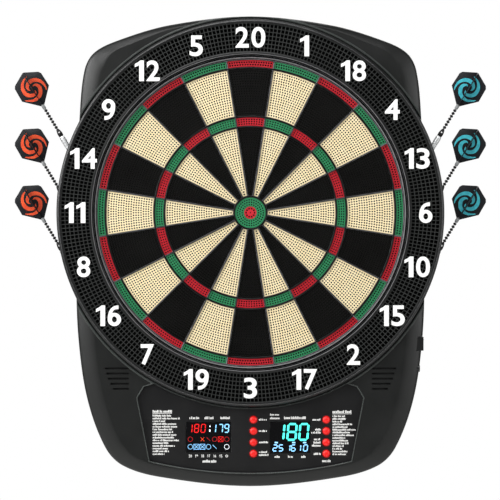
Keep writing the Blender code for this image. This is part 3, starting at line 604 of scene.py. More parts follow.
def makeFrontHousing():
    outline = casingOutline()
    rows = [(outline, casing["split"])]
    rows += [(insetOutline(outline, rollWidth, share), casing["front"] - casing["rollDrop"] * drop)
             for share, drop in casing["roll"]]
    tools = []
    tipEnd = dart["shaft"] + dart["barrel"] + dart["tip"]
    barrelEnd = dart["shaft"] + dart["barrel"] + 1 * mm
    for hand in (-1, 1):
        for row in range(3):
            mouth = dartPoint(hand, row, tipEnd - holder["mouth"])
            foot = dartPoint(hand, row, tipEnd + holder["foot"])
            ends = sorted((hand * holder["side"], hand * (abs(foot[0]) - holder["inward"])))
            tools.append(("UNION", block((ends[0], holder["back"], foot[2] - holder["below"]),
                                         (ends[1], holder["front"], mouth[2] + holder["above"]))))
        for x, z in posts["places"]:
            tools.append(("UNION", rod((hand * x, casing["split"] + 0.3 * mm, z),
                                       (hand * x, casing["front"] - 1.2 * mm, z), posts["radius"])))
    tools.append(("DIFFERENCE", plate(circle(casing["targetHole"]), [], 5 * mm, 40 * mm)))
    tools.append(("DIFFERENCE", plate(panelOutline(), [], casing["front"] - 6 * mm, 40 * mm)))
    tools.append(("DIFFERENCE", taper(panelOutline(-0.4 * mm, -0.1 * mm), panelOutline(3.0 * mm, 0.6 * mm),
                                      casing["front"] - 1.1 * mm, casing["front"] + 2.0 * mm)))
    for hand in (-1, 1):
        for row in range(3):
            tools.append(("DIFFERENCE", rod(dartPoint(hand, row, 60 * mm),
                                            dartPoint(hand, row, barrelEnd), dart["wideBore"])))
            tools.append(("DIFFERENCE", rod(dartPoint(hand, row, barrelEnd - 1 * mm),
                                            dartPoint(hand, row, tipEnd + 0.7 * mm), dart["narrowBore"])))
        for row, outer in enumerate(slots["outer"]):
            ends = sorted((hand * slots["inner"], hand * outer))
            middle = slots["top"] - row * slots["pitch"]
            tools.append(("DIFFERENCE", plate(stadium(*ends, middle, slots["height"]), [],
                                              24 * mm, 34 * mm)))
    bezelLow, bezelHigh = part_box("switch_bezel")
    gap = 0.3 * mm
    tools.append(("DIFFERENCE", block((180 * mm, -bezelHigh.y - gap, bezelLow.z - gap),
                                      (202 * mm, -bezelLow.y + gap, bezelHigh.z + gap))))
    jackLow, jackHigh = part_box("dc_jack")
    jackPlace = (-(jackLow.y + jackHigh.y) / 2, (jackLow.z + jackHigh.z) / 2)
    tools.append(("DIFFERENCE", rod((180 * mm, *jackPlace), (202 * mm, *jackPlace), 4.5 * mm)))
    body = cut(shell(rows), tools)
    inner, outer, top = casing["bead"]
    bead = roundBull([(inner, 24 * mm), (outer, 24 * mm), (outer, top - 0.9 * mm),
                      (outer - 0.45 * mm, top - 0.2 * mm), ((inner + outer) / 2, top),
                      (inner + 0.45 * mm, top - 0.2 * mm), (inner, top - 0.9 * mm)], 300)
    reach = plate([tuple(p) for p in insetOutline(outline, lambda way, p: 1.3 * mm, 1.0)], [],
                  20 * mm, 40 * mm)
    bead = cut(bead, [("INTERSECT", reach),
                      ("DIFFERENCE", plate(panelOutline(0.2 * mm), [], 20 * mm, 40 * mm))])
    trim = tube([(x, casing["front"] - 0.1 * mm, z) for x, z in panelOutline(0.5 * mm)], 0.75 * mm)
    # the bead and the trim take the lighter colour: a painted highlight
    addPiece("casing_front", [(body, 0), (bead, 1), (trim, 1)], [casingAbs, trimHighlightAbs],
             replaced=["front_housing"], sharp=32, flatFaces=True)


def keyholeOutline(x, z):
    neck = math.asin(keyhole["slot"] / keyhole["entry"])
    turns = [neck + (math.tau - 2 * neck) * step / 24 for step in range(25)]
    entry = [(x + keyhole["entry"] * math.sin(a), z + keyhole["entry"] * math.cos(a)) for a in turns]
    turns = [math.pi * (step / 10 - 0.5) for step in range(11)]
    top = z + keyhole["rise"]
    slot = keyhole["slot"]
    return entry + [(x + slot * math.sin(a), top + slot * math.cos(a)) for a in turns]


back = {"roll": 2.0 * mm, "groove": 0.9 * mm, "rings": [60 * mm, 128 * mm, 150 * mm],
        "ringWidth": 2.2 * mm, "spokes": 12, "spokeReach": (64 * mm, 124 * mm)}


def makeRearCover():
    outline = casingOutline()
    roll = back["roll"]
    angles = [math.pi / 2 * step / 4 for step in range(5)]
    rows = [(outline, 9 * mm)]
    rows += [(insetOutline(outline, lambda way, p: roll * (1 - math.cos(a)), 1.0), roll * (1 - math.sin(a)))
             for a in angles]
    tools = []
    for hand in (-1, 1):
        for x, z in posts["places"]:
            tools.append(("UNION", rod((hand * x, 0.6 * mm, z), (hand * x, 8.6 * mm, z), posts["boss"], 32)))
    for hand in (-1, 1):
        x, z = hand * keyhole["place"][0], keyhole["place"][1]
        tools.append(("DIFFERENCE", plate(keyholeOutline(x, z), [], -4 * mm, 6 * mm)))
        for x, z in posts["places"]:
            tools.append(("DIFFERENCE", rod((hand * x, -4 * mm, z), (hand * x, posts["sink"], z),
                                            posts["headBore"] + 0.4 * mm, 32)))
    half = back["ringWidth"] / 2
    for radius in back["rings"]:
        tools.append(("DIFFERENCE", roundBull([(radius - half, back["groove"]), (radius - half, -3 * mm),
                                               (radius + half, -3 * mm), (radius + half, back["groove"])])))
    for spoke in range(back["spokes"]):
        inner, outer = back["spokeReach"]
        turn = Matrix.Rotation(math.tau * (spoke + 0.5) / back["spokes"], 4, "Y")
        bar = plate([(-half, inner), (half, inner), (half, outer), (-half, outer)], [],
                    -3 * mm, back["groove"])
        bar.transform(turn)
        tools.append(("DIFFERENCE", bar))
    body = cut(shell(rows), tools)
    addPiece("casing_rear", [(body, 0)], [casingAbs], replaced=["rear_cover"],
             sharp=32, flatFaces=True)


makeFrontHousing()
makeRearCover()
print("casing made")


def nodeInput(tree, name, kind, value=None):
    socket = tree.interface.new_socket(name, in_out="INPUT", socket_type=kind)
    if value is not None:
        socket.default_value = value


def arithmetic(tree, operation, first, second=0.0):
    return addNode(tree, "ShaderNodeMath", {"operation": operation}, {0: first, 1: second}).outputs[0]


def cellTree():
    # rows of one mould cell round the bull: blind holes of a segment, square holes of the ring
    tree = bpy.data.node_groups.new("cellsRoundTheBull", "GeometryNodeTree")
    tree.interface.new_socket("Geometry", in_out="OUTPUT", socket_type="NodeSocketGeometry")
    nodeInput(tree, "Geometry", "NodeSocketGeometry")
    nodeInput(tree, "Cell", "NodeSocketObject")
    nodeInput(tree, "Inner Radius", "NodeSocketFloat", 0.02)
    nodeInput(tree, "Outer Radius", "NodeSocketFloat", 0.1)
    nodeInput(tree, "Half Turn", "NodeSocketFloat", math.pi)
    nodeInput(tree, "Side Gap", "NodeSocketFloat", 0.0)
    nodeInput(tree, "Pitch", "NodeSocketFloat", 0.0028)
    nodeInput(tree, "Columns", "NodeSocketInt", 0)
    nodeInput(tree, "Turn", "NodeSocketFloat", 0.0)
    nodeInput(tree, "Finish", "NodeSocketMaterial")
    nodeInput(tree, "Pit Painted Shadow", "NodeSocketMaterial")
    given = addNode(tree, "NodeGroupInput").outputs
    span = arithmetic(tree, "SUBTRACT", given["Outer Radius"], given["Inner Radius"])
    rowCount = arithmetic(tree, "MAXIMUM", arithmetic(
        tree, "ROUND", arithmetic(tree, "DIVIDE", span, given["Pitch"])), 1.0)
    rowHeight = arithmetic(tree, "DIVIDE", span, rowCount)
    rows = addNode(tree, "GeometryNodeMeshLine", None, {"Count": rowCount})
    step = arithmetic(tree, "ADD", addNode(tree, "GeometryNodeInputIndex").outputs[0], 0.5)
    radius = arithmetic(tree, "ADD", given["Inner Radius"], arithmetic(tree, "MULTIPLY", step, rowHeight))
    gapAngle = arithmetic(tree, "ARCSINE", arithmetic(tree, "DIVIDE", given["Side Gap"], radius))
    reach = arithmetic(tree, "SUBTRACT", given["Half Turn"], gapAngle)
    width = arithmetic(tree, "MULTIPLY", arithmetic(tree, "MULTIPLY", reach, radius), 2.0)
    fitting = arithmetic(tree, "MAXIMUM", arithmetic(
        tree, "ROUND", arithmetic(tree, "DIVIDE", width, given["Pitch"])), 1.0)
    fixed = arithmetic(tree, "GREATER_THAN", given["Columns"], 0.5)
    count = addNode(tree, "GeometryNodeSwitch", {"input_type": "FLOAT"},
                    {"Switch": fixed, "False": fitting, "True": given["Columns"]}).outputs[0]
    line = rows.outputs[0]
    for name, value in (("rowRadius", radius), ("rowReach", reach), ("rowCount", count)):
        line = addNode(tree, "GeometryNodeStoreNamedAttribute", {"data_type": "FLOAT", "domain": "POINT"},
                       {"Geometry": line, "Name": name, "Value": value}).outputs[0]
    copies = addNode(tree, "GeometryNodeDuplicateElements", {"domain": "POINT"},
                     {"Geometry": line, "Amount": count})
    numbered = addNode(tree, "GeometryNodeStoreNamedAttribute", {"data_type": "FLOAT", "domain": "POINT"},
                       {"Geometry": copies.outputs[0], "Name": "column", "Value": copies.outputs[1]})
    cell = addNode(tree, "GeometryNodeObjectInfo", None, {"Object": given["Cell"]})
    own = addNode(tree, "GeometryNodeInputPosition").outputs[0]
    marked = addNode(tree, "GeometryNodeStoreNamedAttribute",
                     {"data_type": "FLOAT_VECTOR", "domain": "POINT"},
                     {"Geometry": cell.outputs["Geometry"], "Name": "cellPlace", "Value": own})
    spread = addNode(tree, "GeometryNodeInstanceOnPoints", None,
                     {"Points": numbered.outputs[0], "Instance": marked.outputs[0]})
    real = addNode(tree, "GeometryNodeRealizeInstances", None, {"Geometry": spread.outputs[0]})

    def stored(name):
        return addNode(tree, "GeometryNodeInputNamedAttribute", {"data_type": "FLOAT"},
                       {"Name": name}).outputs["Attribute"]

    local = addNode(tree, "GeometryNodeInputNamedAttribute", {"data_type": "FLOAT_VECTOR"},
                    {"Name": "cellPlace"}).outputs["Attribute"]
    axes = addNode(tree, "ShaderNodeSeparateXYZ", None, {"Vector": local}).outputs
    place = arithmetic(tree, "ADD", arithmetic(tree, "ADD", stored("column"), axes["X"]), 0.5)
    share = arithmetic(tree, "SUBTRACT", arithmetic(tree, "MULTIPLY", arithmetic(
        tree, "DIVIDE", place, stored("rowCount")), 2.0), 1.0)
    angle = arithmetic(tree, "ADD", arithmetic(tree, "MULTIPLY", share, stored("rowReach")), given["Turn"])
    out = arithmetic(tree, "ADD", stored("rowRadius"), arithmetic(tree, "MULTIPLY", axes["Y"], rowHeight))
    spot = addNode(tree, "ShaderNodeCombineXYZ", None,
                   {"X": arithmetic(tree, "MULTIPLY", out, arithmetic(tree, "SINE", angle)),
                    "Y": arithmetic(tree, "MULTIPLY", axes["Z"], -1.0),
                    "Z": arithmetic(tree, "MULTIPLY", out, arithmetic(tree, "COSINE", angle))})
    bent = addNode(tree, "GeometryNodeSetPosition", None,
                   {"Geometry": real.outputs[0], "Position": spot.outputs[0]})
    painted = addNode(tree, "GeometryNodeSetMaterial", None,
                      {"Geometry": bent.outputs[0], "Material": given["Finish"]})
    # the pit's walls and floor take the dark pit material: a painted shadow
    inPit = addNode(tree, "GeometryNodeInputNamedAttribute", {"data_type": "FLOAT"}, {"Name": "inPit"})
    shaded = addNode(tree, "GeometryNodeSetMaterial", None,
                     {"Geometry": painted.outputs[0], "Selection": inPit.outputs["Attribute"],
                      "Material": given["Pit Painted Shadow"]})
    addNode(tree, "NodeGroupOutput", None, {0: shaded.outputs[0]})
    return tree


def screwTree():
    # one fastener at every vertex of a mesh
    tree = bpy.data.node_groups.new("screwsAtPoints", "GeometryNodeTree")
    tree.interface.new_socket("Geometry", in_out="OUTPUT", socket_type="NodeSocketGeometry")
    nodeInput(tree, "Geometry", "NodeSocketGeometry")
    nodeInput(tree, "Screw", "NodeSocketObject")
    nodeInput(tree, "Seed", "NodeSocketInt", 4)
    nodeInput(tree, "Finish", "NodeSocketMaterial")
    given = addNode(tree, "NodeGroupInput").outputs
    head = addNode(tree, "GeometryNodeObjectInfo", None, {"Object": given["Screw"]})
    angle = addNode(tree, "FunctionNodeRandomValue", {"data_type": "FLOAT"},
                    {"Seed": given["Seed"], 2: 0.0, 3: math.pi}).outputs[1]
    turn = addNode(tree, "ShaderNodeCombineXYZ", None, {"Y": angle})
    spread = addNode(tree, "GeometryNodeInstanceOnPoints", None,
                     {"Points": given["Geometry"], "Instance": head.outputs["Geometry"],
                      "Rotation": turn.outputs[0]})
    real = addNode(tree, "GeometryNodeRealizeInstances", None, {"Geometry": spread.outputs[0]})
    painted = addNode(tree, "GeometryNodeSetMaterial", None,
                      {"Geometry": real.outputs[0], "Material": given["Finish"]})
    addNode(tree, "NodeGroupOutput", None, {0: painted.outputs[0]})
    return tree


def grown(tree, values, base=None):
    # runs a tree with its named inputs and keeps the result as a plain mesh
    thing = addObject("grown", base or bpy.data.meshes.new("seed"))
    modifier = thing.modifiers.new("grow", "NODES")
    modifier.node_group = tree
    for socket in tree.interface.items_tree:
        if socket.item_type == "SOCKET" and socket.in_out == "INPUT" and socket.name in values:
            modifier[socket.identifier] = values[socket.name]
    mesh = toMesh(thing)
    for attribute in [a.name for a in mesh.attributes if a.name in
                      ("rowRadius", "rowReach", "rowCount", "column", "cellPlace", "inPit")]:
        mesh.attributes.remove(mesh.attributes[attribute])
    return mesh


def cellBlock(name, corners, half, backDepth, frontDepth, pitDepth, narrow=0.75):
    # a closed unit block with a blind pit; x and y are shares of the cell, z is the depth
    # it is a little larger than its share, so the rows and columns leave no cracks between them
    bm = bmesh.new()
    wide, tall = 0.503, 0.52
    square = [(-wide, -tall), (wide, -tall), (wide, tall), (-wide, tall)]
    low = [bm.verts.new((x, y, backDepth)) for x, y in square]
    high = [bm.verts.new((x, y, frontDepth)) for x, y in square]
    turns = [math.tau * (k / corners) - math.radians(135) for k in range(corners)]
    rim = [bm.verts.new((half * math.cos(a), half * math.sin(a), frontDepth)) for a in turns]
    foot = [bm.verts.new((narrow * half * math.cos(a), narrow * half * math.sin(a), frontDepth - pitDepth))
            for a in turns]
    bm.faces.new(low)
    bm.faces.new(foot)
    each = corners // 4
    for i in range(4):
        j = (i + 1) % 4
        bm.faces.new((low[i], low[j], high[j], high[i]))
        bm.faces.new([high[i], high[j]] + [rim[(each * i + k) % corners] for k in range(each, -1, -1)])
    for k in range(corners):
        n = (k + 1) % corners
        bm.faces.new((rim[k], rim[n], foot[n], foot[k]))
    bmesh.ops.recalc_face_normals(bm, faces=bm.faces)
    # faces that touch the pit's floor are marked for the painted shadow
    deep = bm.faces.layers.float.new("inPit")
    for face in bm.faces:
        touching = sum(vert in foot for vert in face.verts)
        face[deep] = 1.0 if touching else 0.0
    mesh = bpy.data.meshes.new(name)
    bm.to_mesh(mesh)
    bm.free()
    cell = addObject(name, mesh)
    cell.hide_render = True
    return cell


cells = cellTree()
screws = screwTree()

# Target: each number's four blocks stand on one flange, in the spider's pockets
target = {
    "bands": [("double", 163.6 * mm, 171.45 * mm), ("outerSingle", 109 * mm, 161.5 * mm),
              ("triple", 97.5 * mm, 107 * mm), ("innerSingle", 19.3 * mm, 95.5 * mm)],
    "rib": 1.55 * mm, "gap": 0.25 * mm, "margin": 1.05 * mm, "pitch": 2.79 * mm, "hole": 0.94 * mm,
    "ringHole": 1.0 * mm,
    "flangeReach": (17.3 * mm + 1.9 * mm, 172.45 * mm), "flangeGap": 0.4 * mm,
    "flange": (18.2 * mm, 19.4 * mm), "blockBack": 18.6 * mm, "face": segmentFace, "edge": 0.45 * mm,
    "cellBack": 27.4 * mm, "pit": 3.2 * mm, "arcSteps": 10, "outerBull": 17.3 * mm, "innerBull": 7.0 * mm,
}


def wedge(inner, outer, rib, moved, turn=0.0):
    # outline of one number's area between two radii, with straight ribs of width rib beside it
    points = []
    for radius, way in ((outer + moved, 1), (inner - moved, -1)):
        half = sectorAngle / 2 - math.asin((rib / 2 - moved) / radius)
        for step in range(target["arcSteps"] + 1):
            angle = way * half * (2 * step / target["arcSteps"] - 1) + turn
            points.append((radius * math.sin(angle), radius * math.cos(angle)))
    return points


def tray(outline, inside, bottom):
    # a block with a bevelled rim round a sunken floor, where the cells stand
    edge = target["edge"]
    face = target["face"]
    shrunk = insetOutline([Vector(p) for p in outline], lambda way, p: edge, 1.0)
    bm = bmesh.new()
    rows = [(outline, bottom), (outline, face - edge), (shrunk, face), (inside, face),
            (inside, target["cellBack"] - 0.1 * mm)]
    rings = [[bm.verts.new((x, -depth, z)) for x, z in loop] for loop, depth in rows]
    bm.faces.new(rings[0])
    bm.faces.new(rings[-1])
    for low, high in zip(rings, rings[1:]):
        for i in range(len(low)):
            j = (i + 1) % len(low)
            bm.faces.new((low[i], low[j], high[j], high[i]))
    return fromBmesh(bm)


def makeSegments():
    fine, coarse = [cellBlock(name, 12, target[size] / target["pitch"], target["cellBack"],
                              target["face"], target["pit"])
                    for name, size in (("pitCell", "hole"), ("ringPitCell", "ringHole"))]
    for place, score in enumerate(numbers):
        turn = Matrix.Rotation(place * sectorAngle, 4, "Y")
        single, ringed = (segmentBlack, segmentRed) if place % 2 == 0 else (segmentCream, segmentGreen)
        flange = plate(wedge(*target["flangeReach"], target["flangeGap"], 0.0), [], *target["flange"])
        flange.transform(turn)
        parts = [(flange, 0)]
        for name, inner, outer in target["bands"]:
            finish = 1 if name in ("double", "triple") else 0
            margin = target["margin"]
            outline = wedge(inner, outer, target["rib"], 0.0)
            raised = tray(outline, wedge(inner, outer, target["rib"], -margin), target["blockBack"])
            raised.transform(turn)
            holes = grown(cells, {
                "Cell": (fine, coarse)[finish],
                "Inner Radius": inner + margin, "Outer Radius": outer - margin,
                "Half Turn": sectorAngle / 2, "Side Gap": target["rib"] / 2 + margin,
                "Pitch": target["pitch"], "Turn": place * sectorAngle, "Finish": (single, ringed)[finish],
                "Pit Painted Shadow": pitShadow})
            parts += [(raised, finish), (holes, finish)]
        addPiece(f"target_segments_{score}", parts, [single, ringed, pitShadow],
                 f"segments_{score}",
                 [f"segments_{score}"], sharp=25)
    return coarse


def makeBulls(pit):
    face, margin = target["face"], target["margin"]
    outer, inner = target["outerBull"], target["innerBull"]
    hole = inner + target["gap"]
    flangeBack, flangeFront = target["flange"]
    edge = 0.6 * mm
    floorDepth = target["cellBack"] - 0.1 * mm
    rimIn, rimOut = hole + 0.7 * mm, outer - 1.5 * mm
    body = roundBull([(hole, flangeBack), (outer + 1 * mm, flangeBack), (outer + 1 * mm, flangeFront),
                      (outer, flangeFront), (outer, face - edge), (outer - 0.25 * mm, face - 0.15 * mm),
                      (outer - edge, face), (rimOut, face), (rimOut, floorDepth), (rimIn, floorDepth),
                      (rimIn, face), (hole + 0.4 * mm, face), (hole, face - 0.4 * mm)], 120)
    cellsGreen = grown(cells, {"Cell": pit, "Inner Radius": rimIn, "Outer Radius": rimOut,
                               "Half Turn": math.pi, "Side Gap": 0.0, "Pitch": 2.7 * mm,
                               "Turn": 0.0, "Finish": segmentGreen, "Pit Painted Shadow": pitShadow})
    addPiece("target_bull_outer", [(body, 0), (cellsGreen, 0)], [segmentGreen, pitShadow], "bull_outer",
             ["bull_outer"], sharp=25)
    rimIn, rimOut = 3.3 * mm, 6.0 * mm
    centre = 0.75 * mm
    body = roundBull([(0, flangeBack), (inner, flangeBack), (inner, face - 0.3 * mm),
                      (inner - 0.2 * mm, face + 0.15 * mm), (inner - 0.55 * mm, face + 0.3 * mm),
                      (rimOut, face), (rimOut, floorDepth), (rimIn, floorDepth), (rimIn, face),
                      (centre + 0.9 * mm, face + 0.25 * mm), (centre, face), (centre, face - 2.5 * mm),
                      (0, face - 2.5 * mm)], 96)
    cellsRed = grown(cells, {"Cell": pit, "Inner Radius": rimIn, "Outer Radius": rimOut,
                             "Half Turn": math.pi, "Side Gap": 0.0, "Pitch": 2.9 * mm,
                             "Turn": 0.0, "Finish": segmentRed, "Pit Painted Shadow": pitShadow})
    addPiece("target_bull_inner", [(body, 0), (cellsRed, 0)], [segmentRed, pitShadow], "bull_inner",
             ["bull_inner"], sharp=25)


spider = {"back": 19.7 * mm, "front": 32.5 * mm, "radius": 176.5 * mm, "edge": 0.32 * mm,
          "rim": [(172.9, 32.2), (173.1, 34.3), (173.5, 34.9), (173.9, 34.9), (174.3, 34.3), (174.5, 32.2)],
          "ear": (7 * mm, 175 * mm, 190 * mm, 3 * mm)}


def makeSpider():
    holes = [circle(target["outerBull"] + target["gap"], 80)]
    for place in range(len(numbers)):
        for name, inner, outer in target["bands"]:
            holes.append(wedge(inner, outer, target["rib"], target["gap"], place * sectorAngle))
    web = plate(circle(spider["radius"]), holes, spider["back"], spider["front"], spider["edge"], 2)
    web.materials.append(spiderAbs)
    web.materials.append(spiderEdgeHighlight)
    for face in web.polygons:
        # painted highlight: the rounded edges of the straight ribs and of the outermost edge take the pale
        # colour
        across = abs(face.normal.x * face.center.z - face.normal.z * face.center.x) / face.center.length
        bevelled = 0.2 < -face.normal.y < 0.97
        face.material_index = 1 if bevelled and (across > 0.3 or face.center.length > 170 * mm) else 0
    # the ridge takes the pale colour: a painted highlight line
    ridge = roundBull([(r * mm, depth * mm) for r, depth in spider["rim"]], 240)
    parts = [(web, 0), (ridge, 2)]
    half, inner, outer, thick = spider["ear"]
    for quarter in range(4):
        ear = plate([(-half, inner), (half, inner), (half, outer), (-half, outer)], [],
                    spider["back"], spider["back"] + thick, 0.4 * mm)
        ear.transform(Matrix.Rotation(math.radians(45 + 90 * quarter), 4, "Y"))
        parts.append((ear, 0))
    addPiece("target_spider", parts, [spiderAbs, spiderEdgeHighlight, ridgeHighlightAbs], replaced=["spider"],
             sharp=50, flatFaces=True)


pitCell = makeSegments()
makeBulls(pitCell)
makeSpider()
print("target made")


# Catch ring: a turned channel with 7 rows of 300 square holes and white numbers on top
ring = {
    "profile": [(177.2, 30.3), (177.2, 37.3), (177.4, 37.8), (177.9, 38.0), (179.3, 38.0), (180.0, 37.8),
                (180.4, 37.3), (180.4, 31.0), (212.1, 31.0), (212.1, 37.3), (212.5, 37.8), (213.2, 38.0),
                (214.7, 38.0), (215.6, 37.7), (216.4, 36.9), (217.0, 35.6), (217.2, 34.0), (217.2, 30.3)],
    "gridInner": 180.4 * mm, "gridOuter": 212.1 * mm, "rows": 7, "columns": 300,
    "gridFront": 36.9 * mm, "gridBack": 31.1 * mm, "pit": 5.0 * mm, "pitHalf": 0.42,
    "numberRadius": 196 * mm, "numberHeight": 23.2 * mm, "digitGap": 2.9 * mm, "digitWidth": 14.9 * mm,
    "oddWidths": {"1": 10.2 * mm, "4": 16.6 * mm, "0": 15.6 * mm}, "numberFront": 38.0 * mm,
    "bold": 0.02, "stem": 4.7 * mm, "bowl": 0.64,
    "lips": [(177.7, 0.4), (214.5, 0.42)],
}


# the figure 1, as shares of its width and height: a stem with a flag at its upper left
flaggedOne = [(0.48, 0.0), (1.0, 0.0), (1.0, 1.0), (0.62, 1.0),
              (0.36, 0.91), (0.0, 0.83), (0.0, 0.67), (0.48, 0.77)]


def curledFigure(width, height):
    # the figure 9: a round bowl, and a tail that runs down its right side and curls to the left
    stem = ring["stem"]
    bowl = (width / 2, height * ring["bowl"] / 2)
    top = height / 2 - bowl[1]
    angles = [math.tau * step / 40 for step in range(40)]
    outer = [(bowl[0] * math.sin(a), top + bowl[1] * math.cos(a)) for a in angles]
    inner = [((bowl[0] - stem) * math.sin(a), top + (bowl[1] - stem * 0.86) * math.cos(a)) for a in angles]
    right, low = width / 2, -height / 2
    keys = [Vector((right, top)), Vector((right, low * 0.55)), Vector((right * 0.35, low)),
            Vector((-right * 0.62, low))]
    outside = interpolate_bezier(keys[0], keys[1], keys[2], keys[3], 14)
    inset = [Vector((right - stem, top)), Vector((right - stem, low * 0.42)),
             Vector((right * 0.3, low + stem * 0.9)), Vector((-right * 0.62, low + stem * 0.9))]
    inside = interpolate_bezier(inset[0], inset[1], inset[2], inset[3], 14)
    tail = [(p.x, p.y) for p in outside] + [(p.x, p.y) for p in reversed(inside)]
    return outer, inner, tail


def digitMesh(digit, width, height, backDepth, frontDepth):
    # one bold figure, fitted to its width and height, round its own middle
    if digit in "69" and height > 10 * mm:
        outer, inner, tail = curledFigure(width, height)
        mesh = cut(plate(outer, [inner], backDepth, frontDepth),
                   [("UNION", plate(tail, [], backDepth, frontDepth))])
        if digit == "6":
            mesh.transform(Matrix.Rotation(math.pi, 4, "Y"))
        return mesh
    if digit == "1":
        outline = [((x - 0.5) * width, (z - 0.5) * height) for x, z in flaggedOne]
        return plate(outline, [], backDepth, frontDepth)
    text = bpy.data.curves.new("figure", "FONT")
    text.body = digit
    text.offset = ring["bold"]
    text.resolution_u = 6
    mesh = toMesh(addObject("figure", text))
    bm = bmesh.new()
    bm.from_mesh(mesh)
    bpy.data.meshes.remove(mesh)
    bmesh.ops.remove_doubles(bm, verts=bm.verts, dist=0.0005)
    xs = [vert.co.x for vert in bm.verts]
    ys = [vert.co.y for vert in bm.verts]
    for vert in bm.verts:
        vert.co = ((vert.co.x - (min(xs) + max(xs)) / 2) * width / (max(xs) - min(xs)), -frontDepth,
                   (vert.co.y - (min(ys) + max(ys)) / 2) * height / (max(ys) - min(ys)))
    moved = bmesh.ops.extrude_face_region(bm, geom=bm.faces[:])["geom"]
    bmesh.ops.translate(bm, vec=(0, frontDepth - backDepth, 0),
                        verts=[part for part in moved if isinstance(part, bmesh.types.BMVert)])
    return fromBmesh(bm)


def makeRing():
    body = roundBull([(r * mm, depth * mm) for r, depth in ring["profile"]], 300)
    hole = cellBlock("gridCell", 4, ring["pitHalf"] * math.sqrt(2), ring["gridBack"], ring["gridFront"],
                     ring["pit"], 0.92)
    pitch = (ring["gridOuter"] - ring["gridInner"]) / ring["rows"]
    grid = grown(cells, {"Cell": hole, "Inner Radius": ring["gridInner"], "Outer Radius": ring["gridOuter"],
                         "Half Turn": math.pi, "Side Gap": 0.0, "Pitch": pitch,
                         "Columns": ring["columns"], "Turn": 0.0, "Finish": gridHighlightAbs,
                         "Pit Painted Shadow": gridShadow})
    parts = [(body, 0), (grid, 1)]
    # the lips on the ring's rims take the pale colour: painted highlight lines
    for radius, half in ring["lips"]:
        arch = [(math.cos(math.pi * step / 6), math.sin(math.pi * step / 6)) for step in range(7)]
        parts.append((roundBull([(radius * mm + half * mm * x, 37.6 * mm + half * mm * y)
                                 for x, y in arch], 300), 3))
    addPiece("number_ring", parts, [ringAbs, gridHighlightAbs, gridShadow, ridgeHighlightAbs],
             replaced=["catch_ring"], sharp=30)
    parts = []
    for place, score in enumerate(numbers):
        digits = str(score)
        widths = [ring["oddWidths"].get(digit, ring["digitWidth"]) for digit in digits]
        left = -(sum(widths) + ring["digitGap"] * (len(digits) - 1)) / 2
        angle = place * sectorAngle
        centre = Vector((math.sin(angle), 0, math.cos(angle))) * ring["numberRadius"]
        for digit, width in zip(digits, widths):
            mesh = digitMesh(digit, width, ring["numberHeight"], ring["gridFront"] - 0.3 * mm,
                             ring["numberFront"])
            mesh.transform(Matrix.Translation(centre + Vector((left + width / 2, 0, 0))))
            parts.append((mesh, 0))
            left += width + ring["digitGap"]
    addPiece("ring_numbers", parts, [numberWhite])


makeRing()
print("ring and numbers made")


# Control panel: overlay, windows, lit digits and marks, caps
display = {
    "left": (-47.1 * mm, -252.0 * mm, 50.5 * mm, 34.4 * mm),
    "right": (44.7 * mm, -252.3 * mm, 45.5 * mm, 35.5 * mm),
    "back": 14.9 * mm, "window": 24.6 * mm, "face": 26.8 * mm, "proud": 0.12 * mm, "slant": 0.09,
}
buttons = {"top": -232.4 * mm, "pitch": 12.7 * mm, "radius": 4.1 * mm, "front": 29.4 * mm,
           "back": 21.5 * mm, "flange": 24.2 * mm,
           "columns": [(3.4 * mm, ["game", "player", "select", "reset"]),
                       (85.2 * mm, ["power", "volume", "cricket", "next"])]}


def rectangle(centreX, centreZ, width, height):
    x, z = width / 2, height / 2
    return [(centreX - x, centreZ - z), (centreX + x, centreZ - z),
            (centreX + x, centreZ + z), (centreX - x, centreZ + z)]


def stroke(start, end, width):
    # a lit bar with pointed ends
    a, b = Vector(start), Vector(end)
    along = (b - a).normalized() * width / 2
    out = Vector((-along.y, along.x))
    return [a - along * 0.9, a + out, b + out, b + along * 0.9, b - out, a - out]


def figure(digit, centre, width, height, thick):
    # seven-bar figure, leaning a little to the right
    bars = {"0": "abcdef", "1": "bc", "2": "abged", "3": "abgcd", "4": "fgbc", "5": "afgcd",
            "6": "afgecd", "7": "abc", "8": "abcdefg", "9": "abcdfg"}[digit]
    x, z = 0.0 if digit == "1" else (width - thick) / 2, (height - thick) / 2
    gap = thick * 0.62
    ends = {"a": ((-x + gap, z), (x - gap, z)), "b": ((x, z - gap), (x, gap)),
            "c": ((x, -gap), (x, -z + gap)), "d": ((-x + gap, -z), (x - gap, -z)),
            "e": ((-x, -gap), (-x, -z + gap)), "f": ((-x, z - gap), (-x, gap)),
            "g": ((-x + gap, 0), (x - gap, 0))}
    return [[(centre[0] + p[0] + display["slant"] * p[1], centre[1] + p[1])
             for p in stroke(*ends[bar], thick)] for bar in bars]


def hoop(centre, radius, thick, steps=16):
    outer = circle(radius, steps, centre)
    inner = circle(radius - thick, steps, centre)
    return [[outer[i], outer[(i + 1) % steps], inner[(i + 1) % steps], inner[i]] for i in range(steps)]


def symbol(kind, centre, radius, thick):
    x, z = centre
    reach = radius * 0.72
    falling = [tuple(p) for p in stroke((x - reach, z + reach), (x + reach, z - reach), thick)]
    rising = [tuple(p) for p in stroke((x - reach, z - reach), (x + reach, z + reach), thick)]
    shapes = {"o": hoop(centre, radius, thick), "x": [falling, rising], "\\": [falling], "-": []}
    if kind in shapes:
        return shapes[kind]
    frameBars = [((x - radius, z + radius), (x + radius, z + radius)),
                 ((x - radius, z - radius), (x + radius, z - radius)),
                 ((x - radius, z - radius), (x - radius, z + radius)),
                 ((x + radius, z - radius), (x + radius, z + radius))]
    box = [[tuple(p) for p in stroke(a, b, thick)] for a, b in frameBars]
    return box + [falling, rising]


